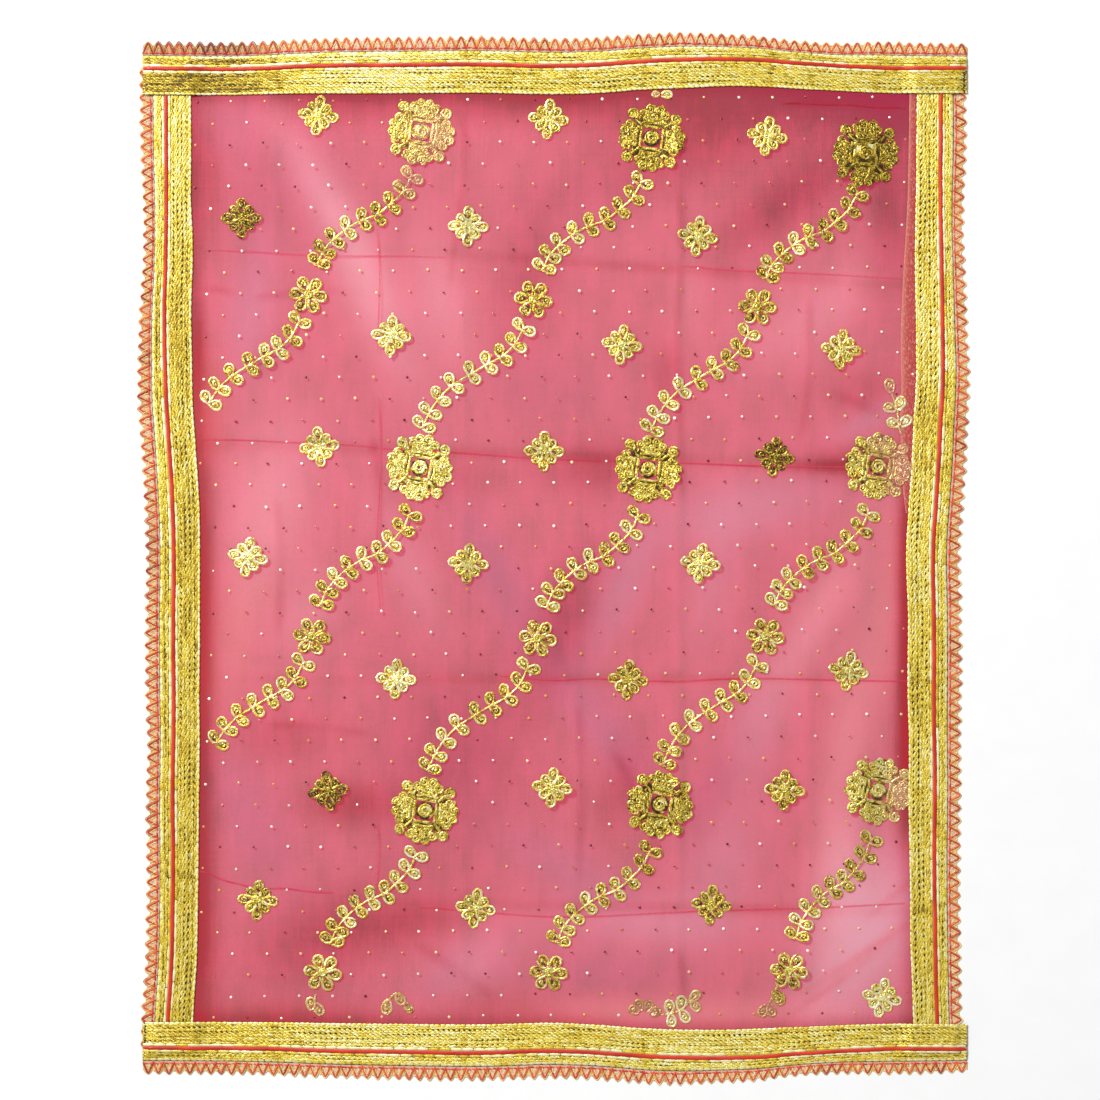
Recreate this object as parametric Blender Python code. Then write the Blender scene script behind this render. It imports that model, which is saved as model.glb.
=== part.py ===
"""A chunri: a see-through net veil with a gold lace border, laid out flat.

The veil lies in the XY plane and rests on z = 0, with its top border towards +Y.
The origin is the middle of its rectangle, on the surface that it rests on.
Sizes are in millimetres, and become metres where a mesh is made.
"""

import math

import bmesh
import bpy

MM = 0.001
SEAM_GAP = 0.3

# The net and its border, in millimetres. Across means outward from the lace's inner edge.
NET_WALL = 1.0
LACE_WIDTH = 62.0
CORD_ACROSS = 31.1
TAPE_WIDTH = 46.2
NET_EDGE_ACROSS = 42.0
STRIP_ENDS = (-455.5, 457.0)
SIDE_STRIP_END_ACROSS = 34.0

# How far the lace is drawn in by its seams, on the inner and on the outer side of its cord.
# Columns: place along the side, share of the full width inside the cord, share outside it.
LACE_DRAWN = {
    "top": (
        (-456.0, 0.92, 1.00), (-314.0, 0.92, 1.00), (-247.0, 0.98, 1.03), (-148.0, 1.00, 1.045),
        (-40.0, 1.00, 1.045), (80.0, 1.00, 1.02), (151.0, 1.00, 1.00), (190.0, 0.95, 0.935),
        (217.0, 0.94, 0.91), (245.0, 0.925, 0.855), (273.0, 0.91, 0.83), (317.0, 0.885, 0.85),
        (356.0, 0.885, 0.96), (400.0, 0.89, 0.95), (457.0, 0.89, 0.91),
    ),
    "bottom": (
        (-456.0, 0.91, 0.98), (-340.0, 0.94, 0.96), (-247.0, 0.985, 0.99), (-148.0, 1.00, 1.02),
        (-60.0, 1.01, 1.015), (51.0, 0.99, 1.00), (151.0, 1.00, 0.985), (190.0, 1.00, 0.907),
        (217.0, 1.01, 0.885), (245.0, 1.00, 0.825), (273.0, 0.95, 0.80), (317.0, 0.92, 0.83),
        (356.0, 0.90, 0.91), (400.0, 0.89, 0.92), (457.0, 0.88, 0.86),
    ),
    "left": (
        (-550.0, 0.89, 0.98), (-432.0, 0.895, 0.98), (-332.0, 0.90, 0.985), (-266.0, 0.93, 0.99),
        (-199.0, 0.935, 0.97), (-150.0, 0.905, 1.045), (-83.0, 0.945, 1.045), (0.0, 0.925, 1.035),
        (66.0, 0.95, 1.04), (133.0, 0.94, 1.05), (175.0, 0.93, 1.08), (221.0, 0.96, 0.995),
        (249.0, 0.965, 0.96), (277.0, 0.955, 0.92), (304.0, 0.955, 0.877), (332.0, 0.965, 0.85),
        (365.0, 0.935, 0.835), (398.0, 0.875, 0.87), (442.0, 0.88, 0.95), (550.0, 0.88, 0.98),
    ),
    "right": (
        (-550.0, 0.86, 0.91), (-465.0, 0.86, 0.92), (-432.0, 0.885, 0.925), (-365.0, 0.875, 0.94),
        (-299.0, 0.905, 0.955), (-266.0, 0.94, 0.96), (-199.0, 0.91, 0.97), (-133.0, 0.94, 1.02),
        (-66.0, 0.92, 1.015), (0.0, 0.955, 1.005), (66.0, 0.965, 1.005), (138.0, 0.97, 1.01),
        (194.0, 0.96, 0.985), (221.0, 0.955, 0.965), (249.0, 0.955, 0.915), (304.0, 0.955, 0.873),
        (332.0, 0.95, 0.85), (360.0, 0.93, 0.817), (387.0, 0.90, 0.835), (415.0, 0.875, 0.87),
        (442.0, 0.865, 0.93), (550.0, 0.86, 0.88),
    ),
}

# The middle of the laid outline, measured where the tables below start from. It becomes the origin.
OUTLINE_MIDDLE = (-0.5, 2.25)

# The line of each border's red cord, as the cloth lies.
# Columns: place along the side, distance of the cord from the middle line.
CORD_LINES = {
    "top": (
        (-456.0, 544.5),
        (-347.0, 544.0),
        (-258.0, 547.5),
        (-170.0, 548.5),
        (-81.0, 549.0),
        (7.0, 547.5),
        (52.0, 549.0),
        (96.0, 552.5),
        (184.0, 555.0),
        (229.0, 554.0),
        (273.0, 550.5),
        (317.0, 547.5),
        (361.0, 545.5),
        (457.0, 545.0),
    ),
    "bottom": (
        (-456.0, 539.0),
        (-391.0, 539.5),
        (-303.0, 541.0),
        (-258.0, 542.5),
        (-170.0, 544.0),
        (-81.0, 545.0),
        (7.0, 543.0),
        (52.0, 545.0),
        (96.0, 548.5),
        (184.0, 550.5),
        (229.0, 549.5),
        (273.0, 546.0),
        (317.0, 543.0),
        (361.0, 541.0),
        (457.0, 540.5),
    ),
    "left": (
        (-550.0, 428.5),
        (-509.0, 427.5),
        (-443.0, 423.5),
        (-376.0, 422.0),
        (-243.0, 422.0),
        (-155.0, 421.0),
        (-66.0, 421.5),
        (22.0, 421.0),
        (66.0, 422.5),
        (133.0, 426.5),
        (199.0, 430.0),
        (266.0, 431.5),
        (332.0, 430.0),
        (509.0, 429.5),
        (550.0, 430.0),
    ),
    "right": (
        (-550.0, 425.5),
        (-509.0, 424.0),
        (-421.0, 422.0),
        (-332.0, 421.0),
        (-243.0, 421.5),
        (-155.0, 420.5),
        (-66.0, 420.5),
        (22.0, 420.0),
        (66.0, 423.0),
        (111.0, 426.0),
        (155.0, 428.0),
        (199.0, 430.5),
        (244.0, 430.5),
        (332.0, 429.0),
        (420.0, 428.0),
        (550.0, 428.5),
    ),
}

# Knitted lace: its thickness where it is plain, in a furrow of holes, on a rib and under the cord
TAPE_BASE = NET_WALL + SEAM_GAP
EDGE_THICK = 0.9
FURROW_THICK = 0.9
RIB_THICK = 1.5
GROOVE_THICK = 0.5
OUTER_EDGE_TOP = 1.2

# Places across the lace: furrows between its knitted rows, and the crests of its pipings
WIDE_FURROWS = (3.3, 7.0, 12.1, 17.2, 22.3, 25.4)
INNER_PIPING = 26.4
GROOVE = (28.2, 34.0)
OUTER_PIPING = 35.6
NARROW_FURROWS = (37.2, 40.6, 44.4)

# The tape steps down from the net to the floor beyond the net's edge
STEP_DOWN = (44.0, 44.4)

# The top and bottom tapes climb over the side strips.
# Columns: distance across the side strip from its inner edge, climb of the tape.
CLIMB = (
    (-16.0, 0.0),
    (-0.6, 2.6),
    (46.6, 2.6),
    (52.0, 0.3),
    (66.0, 0.3),
)
CLIMB_FADES = (SIDE_STRIP_END_ACROSS + 0.6, NET_EDGE_ACROSS)

CORD_HALF_WIDTH = 2.3
CORD_HALF_HEIGHT = 0.85
CORD_SIDES = 6

PICOT_INNER = TAPE_WIDTH + SEAM_GAP
PICOT_NOTCH = 54.0
PICOT_WALL = 1.0
PICOT_PITCH = {"top": 11.5, "bottom": 11.5, "left": 13.8, "right": 13.8}

# Width of the turned-in selvedge that shows beside the right lace.
# Columns: place up the side, width from the lace's inner edge.
SELVEDGE_TURN = (
    (508.0, 9.5),
    (440.0, 10.0),
    (354.0, 11.5),
    (288.0, 15.5),
    (255.0, 17.5),
    (177.0, 16.0),
    (133.0, 13.5),
    (66.0, 5.5),
    (52.0, 2.5),
)

# The net lies flat beside the lace and swells between its pressed folds
FLAT_MARGIN = 20.0
FULL_RISE_AT = 60.0
FOLD_HALF_WIDTH = 14.0

# Pressed folds that run across the veil, which touch the floor where their depth is 1.
# Columns: height up the veil at its left, middle and right, depth at the left, depth at the right.
CROSS_FOLDS = (
    (343.0, 331.0, 316.0, 0.35, 0.85),
    (132.0, 113.0, 102.0, 0.90, 1.00),
    (-111.0, -132.0, -133.0, 0.60, 0.90),
    (-363.0, -394.0, -382.0, 0.70, 0.60),
)

# Pressed folds that run down the veil, as low ridges.
# Columns: place across the veil, height of the ridge at the top, height at the bottom.
DOWN_FOLDS = (
    (-309.0, 1.2, 0.8),
    (-101.0, 2.0, 1.0),
    (24.0, 0.8, 1.4),
    (137.0, 1.8, 2.2),
    (281.0, 1.0, 1.6),
)

# Where the net stands off the floor between its folds.
# Columns: place across, place up, half width, half height, rise.
PUFFS = (
    (-330.0, 430.0, 80.0, 85.0, 5.0),
    (-195.0, 430.0, 80.0, 85.0, 3.5),
    (-40.0, 435.0, 80.0, 80.0, 4.5),
    (200.0, 430.0, 95.0, 75.0, 4.5),
    (330.0, 420.0, 60.0, 80.0, 5.0),
    (-330.0, 235.0, 70.0, 75.0, 4.5),
    (-200.0, 230.0, 80.0, 75.0, 5.0),
    (10.0, 222.0, 95.0, 80.0, 5.5),
    (225.0, 215.0, 85.0, 80.0, 4.0),
    (335.0, 205.0, 55.0, 70.0, 3.0),
    (-320.0, 5.0, 80.0, 90.0, 4.5),
    (-165.0, -15.0, 80.0, 85.0, 6.0),
    (40.0, -10.0, 95.0, 85.0, 3.0),
    (220.0, -5.0, 80.0, 85.0, 5.5),
    (335.0, -15.0, 55.0, 90.0, 4.5),
    (-330.0, -245.0, 75.0, 90.0, 5.0),
    (-185.0, -265.0, 85.0, 90.0, 3.5),
    (30.0, -262.0, 95.0, 90.0, 6.0),
    (220.0, -258.0, 80.0, 90.0, 4.0),
    (335.0, -245.0, 55.0, 85.0, 5.0),
    (-300.0, -455.0, 95.0, 40.0, 3.5),
    (-120.0, -460.0, 90.0, 40.0, 4.5),
    (70.0, -462.0, 90.0, 40.0, 3.5),
    (270.0, -455.0, 95.0, 45.0, 4.5),
)

# Slack in the net that lies in soft slanting folds.
# Columns: place across, place up, direction in degrees, half length, half width, rise.
SOFT_FOLDS = (
    (-280.0, 393.0, -52.0, 150.0, 20.0, 3.0),
    (-262.0, 450.0, -52.0, 70.0, 16.0, 2.5),
    (-215.0, 60.0, -62.0, 85.0, 20.0, 2.5),
    (322.0, -55.0, 40.0, 75.0, 20.0, 2.5),
    (350.0, -285.0, 57.0, 75.0, 18.0, 2.5),
    (100.0, -455.0, 84.0, 60.0, 16.0, 3.0),
    (160.0, 330.0, -70.0, 80.0, 18.0, 2.5),
    (-60.0, -430.0, 62.0, 70.0, 18.0, 2.5),
)

# How many steps of the net's grid lie between one pressed fold and the next
COLUMNS_BETWEEN_FOLDS = 3
ROWS_BETWEEN_FOLDS = 4
LONGEST_STRAIGHT = 50.0

NET_COLOUR = (0.62, 0.10, 0.17, 1.0)
TURN_COLOUR = (0.60, 0.13, 0.10, 1.0)
GOLD_COLOUR = (0.72, 0.55, 0.10, 1.0)
CORD_COLOUR = (0.70, 0.03, 0.02, 1.0)
PICOT_COLOUR = (0.75, 0.17, 0.15, 1.0)


def clear_objects():
    for old in list(bpy.data.objects):
        bpy.data.objects.remove(old, do_unlink=True)


def material(name, colour, roughness, metallic):
    made = bpy.data.materials.new(name)
    made.use_nodes = True
    shader = made.node_tree.nodes["Principled BSDF"]
    shader.inputs["Base Color"].default_value = colour
    shader.inputs["Roughness"].default_value = roughness
    shader.inputs["Metallic"].default_value = metallic
    made.diffuse_color = colour
    return made


def clamp(value, low=0.0, high=1.0):
    return max(low, min(high, value))


def smooth_step(value):
    value = clamp(value)
    return value * value * (3.0 - 2.0 * value)


def straight_through(rows, at):
    """Read a table of (place, value) rows in straight runs, level beyond its ends."""
    rows = sorted(rows)
    if at <= rows[0][0]:
        return rows[0][1]
    for (place, value), (next_place, next_value) in zip(rows, rows[1:]):
        if at <= next_place:
            part = (at - place) / (next_place - place)
            return value + part * (next_value - value)
    return rows[-1][1]


def smooth_through(rows, at):
    """Read a table of (place, value) rows as a smooth curve, level beyond its ends."""
    if at <= rows[0][0]:
        return rows[0][1]
    if at >= rows[-1][0]:
        return rows[-1][1]
    last = len(rows) - 1
    first = max(i for i in range(last) if rows[i][0] <= at)

    def slope(i):
        before = rows[max(i - 1, 0)]
        after = rows[min(i + 1, last)]
        return (after[1] - before[1]) / (after[0] - before[0])

    (place, value), (next_place, next_value) = rows[first], rows[first + 1]
    run = next_place - place
    t = (at - place) / run
    keep = 2 * t**3 - 3 * t**2 + 1
    take = 3 * t**2 - 2 * t**3
    start = (t**3 - 2 * t**2 + t) * run * slope(first)
    end = (t**3 - t**2) * run * slope(first + 1)
    return keep * value + take * next_value + start + end


def spread(first, last, step):
    """Evenly spaced places from first to last, about step apart."""
    count = max(1, round(abs(last - first) / step))
    return [first + (last - first) * i / count for i in range(count + 1)]


# The border


def course_of(side):
    """The cord line of one side with a smooth point between each two rows of its table."""
    rows = CORD_LINES[side]
    points = []
    for (place, value), (next_place, _) in zip(rows, rows[1:]):
        points.append((place, value))
        if next_place - place > LONGEST_STRAIGHT:
            middle = (place + next_place) / 2.0
            points.append((middle, smooth_through(rows, middle)))
    return [*points, rows[-1]]


def widths_of(side, column):
    """The lace's drawn width on one side of its cord, read at the points of the cord's line."""
    rows = [(row[0], row[column]) for row in LACE_DRAWN[side]]
    return [(place, smooth_through(rows, place)) for place, _ in COURSES[side]]


COURSES = {side: course_of(side) for side in CORD_LINES}
INNER_WIDTHS = {side: widths_of(side, 1) for side in CORD_LINES}
OUTER_WIDTHS = {side: widths_of(side, 2) for side in CORD_LINES}


def edge_distance(side, along, across):
    """Distance from the veil's middle line to a point that lies across the lace of one side."""
    widths = INNER_WIDTHS if across < CORD_ACROSS else OUTER_WIDTHS
    drawn = straight_through(widths[side], along) * (across - CORD_ACROSS)
    return straight_through(COURSES[side], along) + drawn


def place_on_side(side, along, across):
    """A point in plan, from its place along a side and across that side's lace."""
    away = edge_distance(side, along, across)
    plan = {
        "top": (along, away),
        "bottom": (along, -away),
        "left": (-away, along),
        "right": (away, along),
    }
    return plan[side]


def strip_span(side):
    """Where the lace of one side starts and ends along that side."""
    if side in ("top", "bottom"):
        return STRIP_ENDS
    sign = -1.0 if side == "left" else 1.0
    corner_along = sign * CORD_LINES[side][-1][1]
    top = edge_distance("top", corner_along, SIDE_STRIP_END_ACROSS)
    bottom = edge_distance("bottom", corner_along, SIDE_STRIP_END_ACROSS)
    return (-bottom, top)


def side_strip_inner_edges(side):
    """How far out the side strips' inner edges lie where the top or bottom lace crosses them."""
    along = -CORD_LINES[side][0][1] if side == "bottom" else CORD_LINES[side][0][1]
    return edge_distance("left", along, 0.0), edge_distance("right", along, 0.0)


def climb(side, along, across):
    """How far the top or bottom lace is lifted by the side strip under it."""
    if side in ("left", "right"):
        return 0.0
    left, right = side_strip_inner_edges(side)
    across_crossed = -along - left if along < 0 else along - right
    fade = straight_through(((CLIMB_FADES[0], 1.0), (CLIMB_FADES[1], 0.0)), across)
    return fade * straight_through(CLIMB, across_crossed)


def strip_stations(side):
    """Places along a side where its lace has a ring of points."""
    first, last = strip_span(side)
    places = [place for place, _ in COURSES[side] if first < place < last]
    if side in ("top", "bottom"):
        left, right = side_strip_inner_edges(side)
        for bend, _ in CLIMB[:-1]:
            places += [-left - bend, right + bend]
    return [first, *sorted(places), last]


def knitted_rows(furrows):
    """Furrows across the lace with the crest of a knitted row between each two."""
    points = [(furrows[0], FURROW_THICK)]
    for here, there in zip(furrows, furrows[1:]):
        points.append(((here + there) / 2.0, RIB_THICK))
        points.append((there, FURROW_THICK))
    return points


def tape_ring(side, along):
    """One ring of the lace tape: over its rows outward, then back along its underside."""
    over = [
        (0.0, EDGE_THICK),
        *knitted_rows(WIDE_FURROWS),
        (INNER_PIPING, RIB_THICK),
        (GROOVE[0], GROOVE_THICK),
        (GROOVE[1], GROOVE_THICK),
        (OUTER_PIPING, RIB_THICK),
        *knitted_rows(NARROW_FURROWS),
    ]
    points = [(across, TAPE_BASE + thick) for across, thick in over]
    points.append((TAPE_WIDTH, OUTER_EDGE_TOP))
    points.append((TAPE_WIDTH, 0.0))
    points.append((STEP_DOWN[1], 0.0))
    points.append((STEP_DOWN[0], TAPE_BASE))
    points.append((CLIMB_FADES[1], TAPE_BASE))
    points.append((CLIMB_FADES[0], TAPE_BASE))
    points.append((0.0, TAPE_BASE))
    ring = []
    for across, height in points:
        x, y = place_on_side(side, along, across)
        ring.append((x, y, height + climb(side, along, across)))
    return ring


def cord_ring(side, along):
    """One ring of the red cord, just clear of the groove that it lies in."""
    middle = TAPE_BASE + GROOVE_THICK + SEAM_GAP + CORD_HALF_HEIGHT
    middle += climb(side, along, CORD_ACROSS)
    ring = []
    for corner in range(CORD_SIDES):
        angle = 2.0 * math.pi * corner / CORD_SIDES
        across = CORD_ACROSS + CORD_HALF_WIDTH * math.cos(angle)
        x, y = place_on_side(side, along, across)
        ring.append((x, y, middle + CORD_HALF_HEIGHT * math.sin(angle)))
    return ring


# The net


def net_edges(place_x, place_y, across):
    """Left, right, bottom and top bounds of the net at a place, at a line across the lace."""
    left = -edge_distance("left", place_y, across)
    right = edge_distance("right", place_y, across)
    bottom = -edge_distance("bottom", place_x, across)
    top = edge_distance("top", place_x, across)
    return left, right, bottom, top


def cross_fold_line(fold, x):
    """Height up the veil of a fold that runs across it, and its depth there."""
    left, middle, right, depth_left, depth_right = fold
    inner_half = edge_distance("right", 0.0, 0.0)
    bend = straight_through(((-inner_half, left), (0.0, middle), (inner_half, right)), x)
    depth = straight_through(((-inner_half, depth_left), (inner_half, depth_right)), x)
    return bend, depth


def soft_fold_rise(fold, x, y):
    """Height of one slanting fold at a place, highest along its own line."""
    at_x, at_y, direction, half_length, half_width, rise = fold
    turn = math.radians(direction)
    along = (x - at_x) * math.cos(turn) + (y - at_y) * math.sin(turn)
    beside = (y - at_y) * math.cos(turn) - (x - at_x) * math.sin(turn)
    return rise * math.exp(-((along / half_length) ** 2) - (beside / half_width) ** 2)


def net_rise(x, y):
    """How far the net's underside stands off the floor."""
    left, right, bottom, top = net_edges(x, y, 0.0)
    rise = sum(
        height * math.exp(-(((x - at_x) / half_x) ** 2) - ((y - at_y) / half_y) ** 2)
        for at_x, at_y, half_x, half_y, height in PUFFS
    )
    rise += sum(soft_fold_rise(fold, x, y) for fold in SOFT_FOLDS)
    for at_x, top_ridge, bottom_ridge in DOWN_FOLDS:
        part = clamp((y - bottom) / (top - bottom))
        ridge = bottom_ridge + part * (top_ridge - bottom_ridge)
        rise += ridge * clamp(1.0 - abs(x - at_x) / FOLD_HALF_WIDTH)
    for fold in CROSS_FOLDS:
        at_y, depth = cross_fold_line(fold, x)
        rise *= 1.0 - depth * clamp(1.0 - abs(y - at_y) / FOLD_HALF_WIDTH)
    for inside in (x - left, right - x, y - bottom, top - y):
        rise *= smooth_step((inside - FLAT_MARGIN) / (FULL_RISE_AT - FLAT_MARGIN))
    return rise


def between(first, last, count):
    """The places that split a run into count equal parts, without its ends."""
    return [first + (last - first) * i / count for i in range(1, count)]


def lines_through_folds(first, last, folds, count):
    """Grid lines from first to last, with three at each fold and count steps between folds."""
    lines = [first]
    for fold in folds:
        lines += between(lines[-1], fold - FOLD_HALF_WIDTH, count)
        lines += [fold - FOLD_HALF_WIDTH, fold, fold + FOLD_HALF_WIDTH]
    lines += between(lines[-1], last, count)
    return [*lines, last]


def net_columns():
    """Places across the veil of the net's grid lines, at the height of the middle."""
    outer_left, outer_right, _, _ = net_edges(0.0, 0.0, NET_EDGE_ACROSS)
    inner_left, inner_right, _, _ = net_edges(0.0, 0.0, -FLAT_MARGIN)
    folds = [fold[0] for fold in DOWN_FOLDS]
    inner = lines_through_folds(inner_left, inner_right, folds, COLUMNS_BETWEEN_FOLDS)
    return [outer_left, *inner, outer_right]


def net_rows(x):
    """Places up the veil of the net's grid lines, at one place across."""
    _, _, outer_bottom, outer_top = net_edges(x, 0.0, NET_EDGE_ACROSS)
    _, _, inner_bottom, inner_top = net_edges(x, 0.0, -FLAT_MARGIN)
    folds = [cross_fold_line(fold, x)[0] for fold in reversed(CROSS_FOLDS)]
    inner = lines_through_folds(inner_bottom, inner_top, folds, ROWS_BETWEEN_FOLDS)
    return [outer_bottom, *inner, outer_top]


def net_grid():
    """Plan points of the net, column by column, fitted between its four edges."""
    columns = net_columns()
    first, last = columns[0], columns[-1]
    grid = []
    for column in columns:
        part = (column - first) / (last - first)
        line = []
        for y in net_rows(column):
            left, right, _, _ = net_edges(column, y, NET_EDGE_ACROSS)
            line.append((left + part * (right - left), y))
        grid.append(line)
    return grid


# Solids


def add_solid(name, vertices, faces, colour, roughness, metallic=0.0, smooth=False):
    """Make one closed body from points in millimetres."""
    middle_x, middle_y = OUTLINE_MIDDLE
    mesh = bpy.data.meshes.new(name)
    points = [((x - middle_x) * MM, (y - middle_y) * MM, z * MM) for x, y, z in vertices]
    mesh.from_pydata(points, [], faces)
    shape = bmesh.new()
    shape.from_mesh(mesh)
    bmesh.ops.recalc_face_normals(shape, faces=shape.faces)
    shape.to_mesh(mesh)
    shape.free()
    mesh.materials.append(material(name, colour, roughness, metallic))
    if smooth:
        mesh.shade_smooth()
    made = bpy.data.objects.new(name, mesh)
    bpy.context.scene.collection.objects.link(made)
    return made


def add_swept(name, rings, colour, roughness, metallic, smooth=False):
    """Join rings of points into a closed body with flat ends."""
    size = len(rings[0])
    vertices = [point for ring in rings for point in ring]
    faces = []
    for station in range(len(rings) - 1):
        for point in range(size):
            following = (point + 1) % size
            here = station * size
            there = here + size
            faces.append((here + point, here + following, there + following, there + point))
    faces.append(tuple(range(size)))
    faces.append(tuple(len(vertices) - size + point for point in range(size)))
    return add_solid(name, vertices, faces, colour, roughness, metallic, smooth)


def add_sheet(name, grid, floor, wall, colour, roughness, smooth=False):
    """Make a wall from a grid of plan points that stands floor(x, y) above the surface."""
    columns = len(grid)
    rows = len(grid[0])
    under = [(x, y, floor(x, y)) for line in grid for x, y in line]
    over = [(x, y, z + wall) for x, y, z in under]
    lift = len(under)
    faces = []
    for column in range(columns - 1):
        for row in range(rows - 1):
            corner = column * rows + row
            quad = (corner, corner + rows, corner + rows + 1, corner + 1)
            faces.append(tuple(reversed(quad)))
            faces.append(tuple(lift + i for i in quad))
    rim = [column * rows for column in range(columns)]
    rim += [(columns - 1) * rows + row for row in range(1, rows)]
    rim += [column * rows + rows - 1 for column in range(columns - 2, -1, -1)]
    rim += list(range(rows - 2, 0, -1))
    for here, there in zip(rim, [*rim[1:], rim[0]]):
        faces.append((here, there, lift + there, lift + here))
    return add_solid(name, under + over, faces, colour, roughness, 0.0, smooth)


def add_net_panel():
    add_sheet("net_panel", net_grid(), net_rise, NET_WALL, NET_COLOUR, 0.6, smooth=True)


def add_selvedge_turn():
    """The turned-in edge lies on the net, from beside the right lace inward."""
    top = edge_distance("top", edge_distance("right", SELVEDGE_TURN[0][0], 0.0), -SEAM_GAP)
    bottom = SELVEDGE_TURN[-1][0]
    places = [place for place, _ in COURSES["right"] if bottom < place < top]
    outer, inner = [], []
    for y in (bottom, *places, top):
        outer.append(place_on_side("right", y, -SEAM_GAP))
        inner.append(place_on_side("right", y, -straight_through(SELVEDGE_TURN, y)))
    turn_floor = NET_WALL + SEAM_GAP
    add_sheet("selvedge_turn", [inner, outer], lambda x, y: turn_floor, NET_WALL, TURN_COLOUR, 0.6)


def add_lace_tape(side):
    rings = [tape_ring(side, along) for along in strip_stations(side)]
    add_swept(f"lace_tape_{side}", rings, GOLD_COLOUR, 0.35, 0.8)


def add_red_cord(side):
    rings = [cord_ring(side, along) for along in strip_stations(side)]
    add_swept(f"red_cord_{side}", rings, CORD_COLOUR, 0.4, 0.0, smooth=True)


def add_picot_edge(side):
    """A flat toothed edging on the floor, one tooth for each turn of its zigzag thread."""
    first, last = strip_span(side)
    notches = spread(first, last, PICOT_PITCH[side])
    plan = [place_on_side(side, along, PICOT_INNER) for along in notches]
    plan += [place_on_side(side, along, PICOT_NOTCH) for along in notches]
    tips = [(here + there) / 2.0 for here, there in zip(notches, notches[1:])]
    plan += [place_on_side(side, along, LACE_WIDTH) for along in tips]
    under = [(x, y, 0.0) for x, y in plan]
    over = [(x, y, PICOT_WALL) for x, y in plan]
    lift = len(plan)
    count = len(tips)
    notch_row = len(notches)
    tip_row = 2 * notch_row
    faces = []
    for tooth in range(count):
        band = (tooth, tooth + 1, notch_row + tooth + 1, notch_row + tooth)
        point = (notch_row + tooth, notch_row + tooth + 1, tip_row + tooth)
        for face in (band, point):
            faces.append(tuple(reversed(face)))
            faces.append(tuple(lift + i for i in face))
    rim = list(range(notch_row))
    rim.append(notch_row + count)
    for tooth in range(count - 1, -1, -1):
        rim += [tip_row + tooth, notch_row + tooth]
    for here, there in zip(rim, [*rim[1:], rim[0]]):
        faces.append((here, there, lift + there, lift + here))
    add_solid(f"picot_edge_{side}", under + over, faces, PICOT_COLOUR, 0.6)


def main():
    clear_objects()
    add_net_panel()
    add_selvedge_turn()
    for side in ("left", "right", "top", "bottom"):
        add_lace_tape(side)
        add_red_cord(side)
        add_picot_edge(side)


main()
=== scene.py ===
# %% [markdown]
# # A chunri, laid flat
# A chunri is a light veil cloth that is offered at a shrine or worn over the head. This one is a
# rectangle of stiff rose net, printed with gold foil and edged with bought gold lace. It lies flat, seen
# from above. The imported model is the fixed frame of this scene. It is loaded first, and every piece made
# here is fitted to it, so nothing has to be scaled or moved afterwards. Lengths in the tables are
# millimetres.

# %% Load the frame
import math

import bpy
import numpy as np
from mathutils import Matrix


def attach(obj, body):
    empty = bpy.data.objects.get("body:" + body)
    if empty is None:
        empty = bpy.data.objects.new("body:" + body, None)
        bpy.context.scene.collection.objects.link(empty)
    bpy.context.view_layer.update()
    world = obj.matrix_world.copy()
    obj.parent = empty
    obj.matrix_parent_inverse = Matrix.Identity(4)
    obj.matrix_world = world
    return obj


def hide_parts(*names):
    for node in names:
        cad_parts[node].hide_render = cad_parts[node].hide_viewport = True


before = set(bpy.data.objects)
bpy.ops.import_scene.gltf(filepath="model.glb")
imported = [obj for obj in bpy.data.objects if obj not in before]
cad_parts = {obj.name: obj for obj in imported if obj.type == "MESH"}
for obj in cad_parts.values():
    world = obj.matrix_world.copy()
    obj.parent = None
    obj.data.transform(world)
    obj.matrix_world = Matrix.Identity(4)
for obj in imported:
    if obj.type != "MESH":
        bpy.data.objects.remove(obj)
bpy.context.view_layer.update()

BODY = "root"
MM = 0.001
SIDES = ("left", "right", "top", "bottom")
rng = np.random.default_rng(41)

# %% [markdown]
# ## The lines that the border follows
# The border is one bought lace, sewn round the net in four lengths. Its line is not straight: the cloth
# bulges a little between its pressed folds. A curve object could hold that line, but the same line places
# the tape, hundreds of stitches, the cord and the teeth. So it is kept as a short table for each side,
# and a function turns a place along the side and a distance across the lace into a point.

# %% Sizes of the border
OUTLINE_MIDDLE = (-0.5, 2.25)
NET_WALL = 1.0
LACE_WIDTH = 62.0
CORD_ACROSS = 31.1
TAPE_WIDTH = 46.2
NET_EDGE_ACROSS = 42.0
STRIP_ENDS = (-455.5, 457.0)
SIDE_STRIP_END_ACROSS = 34.0

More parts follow.
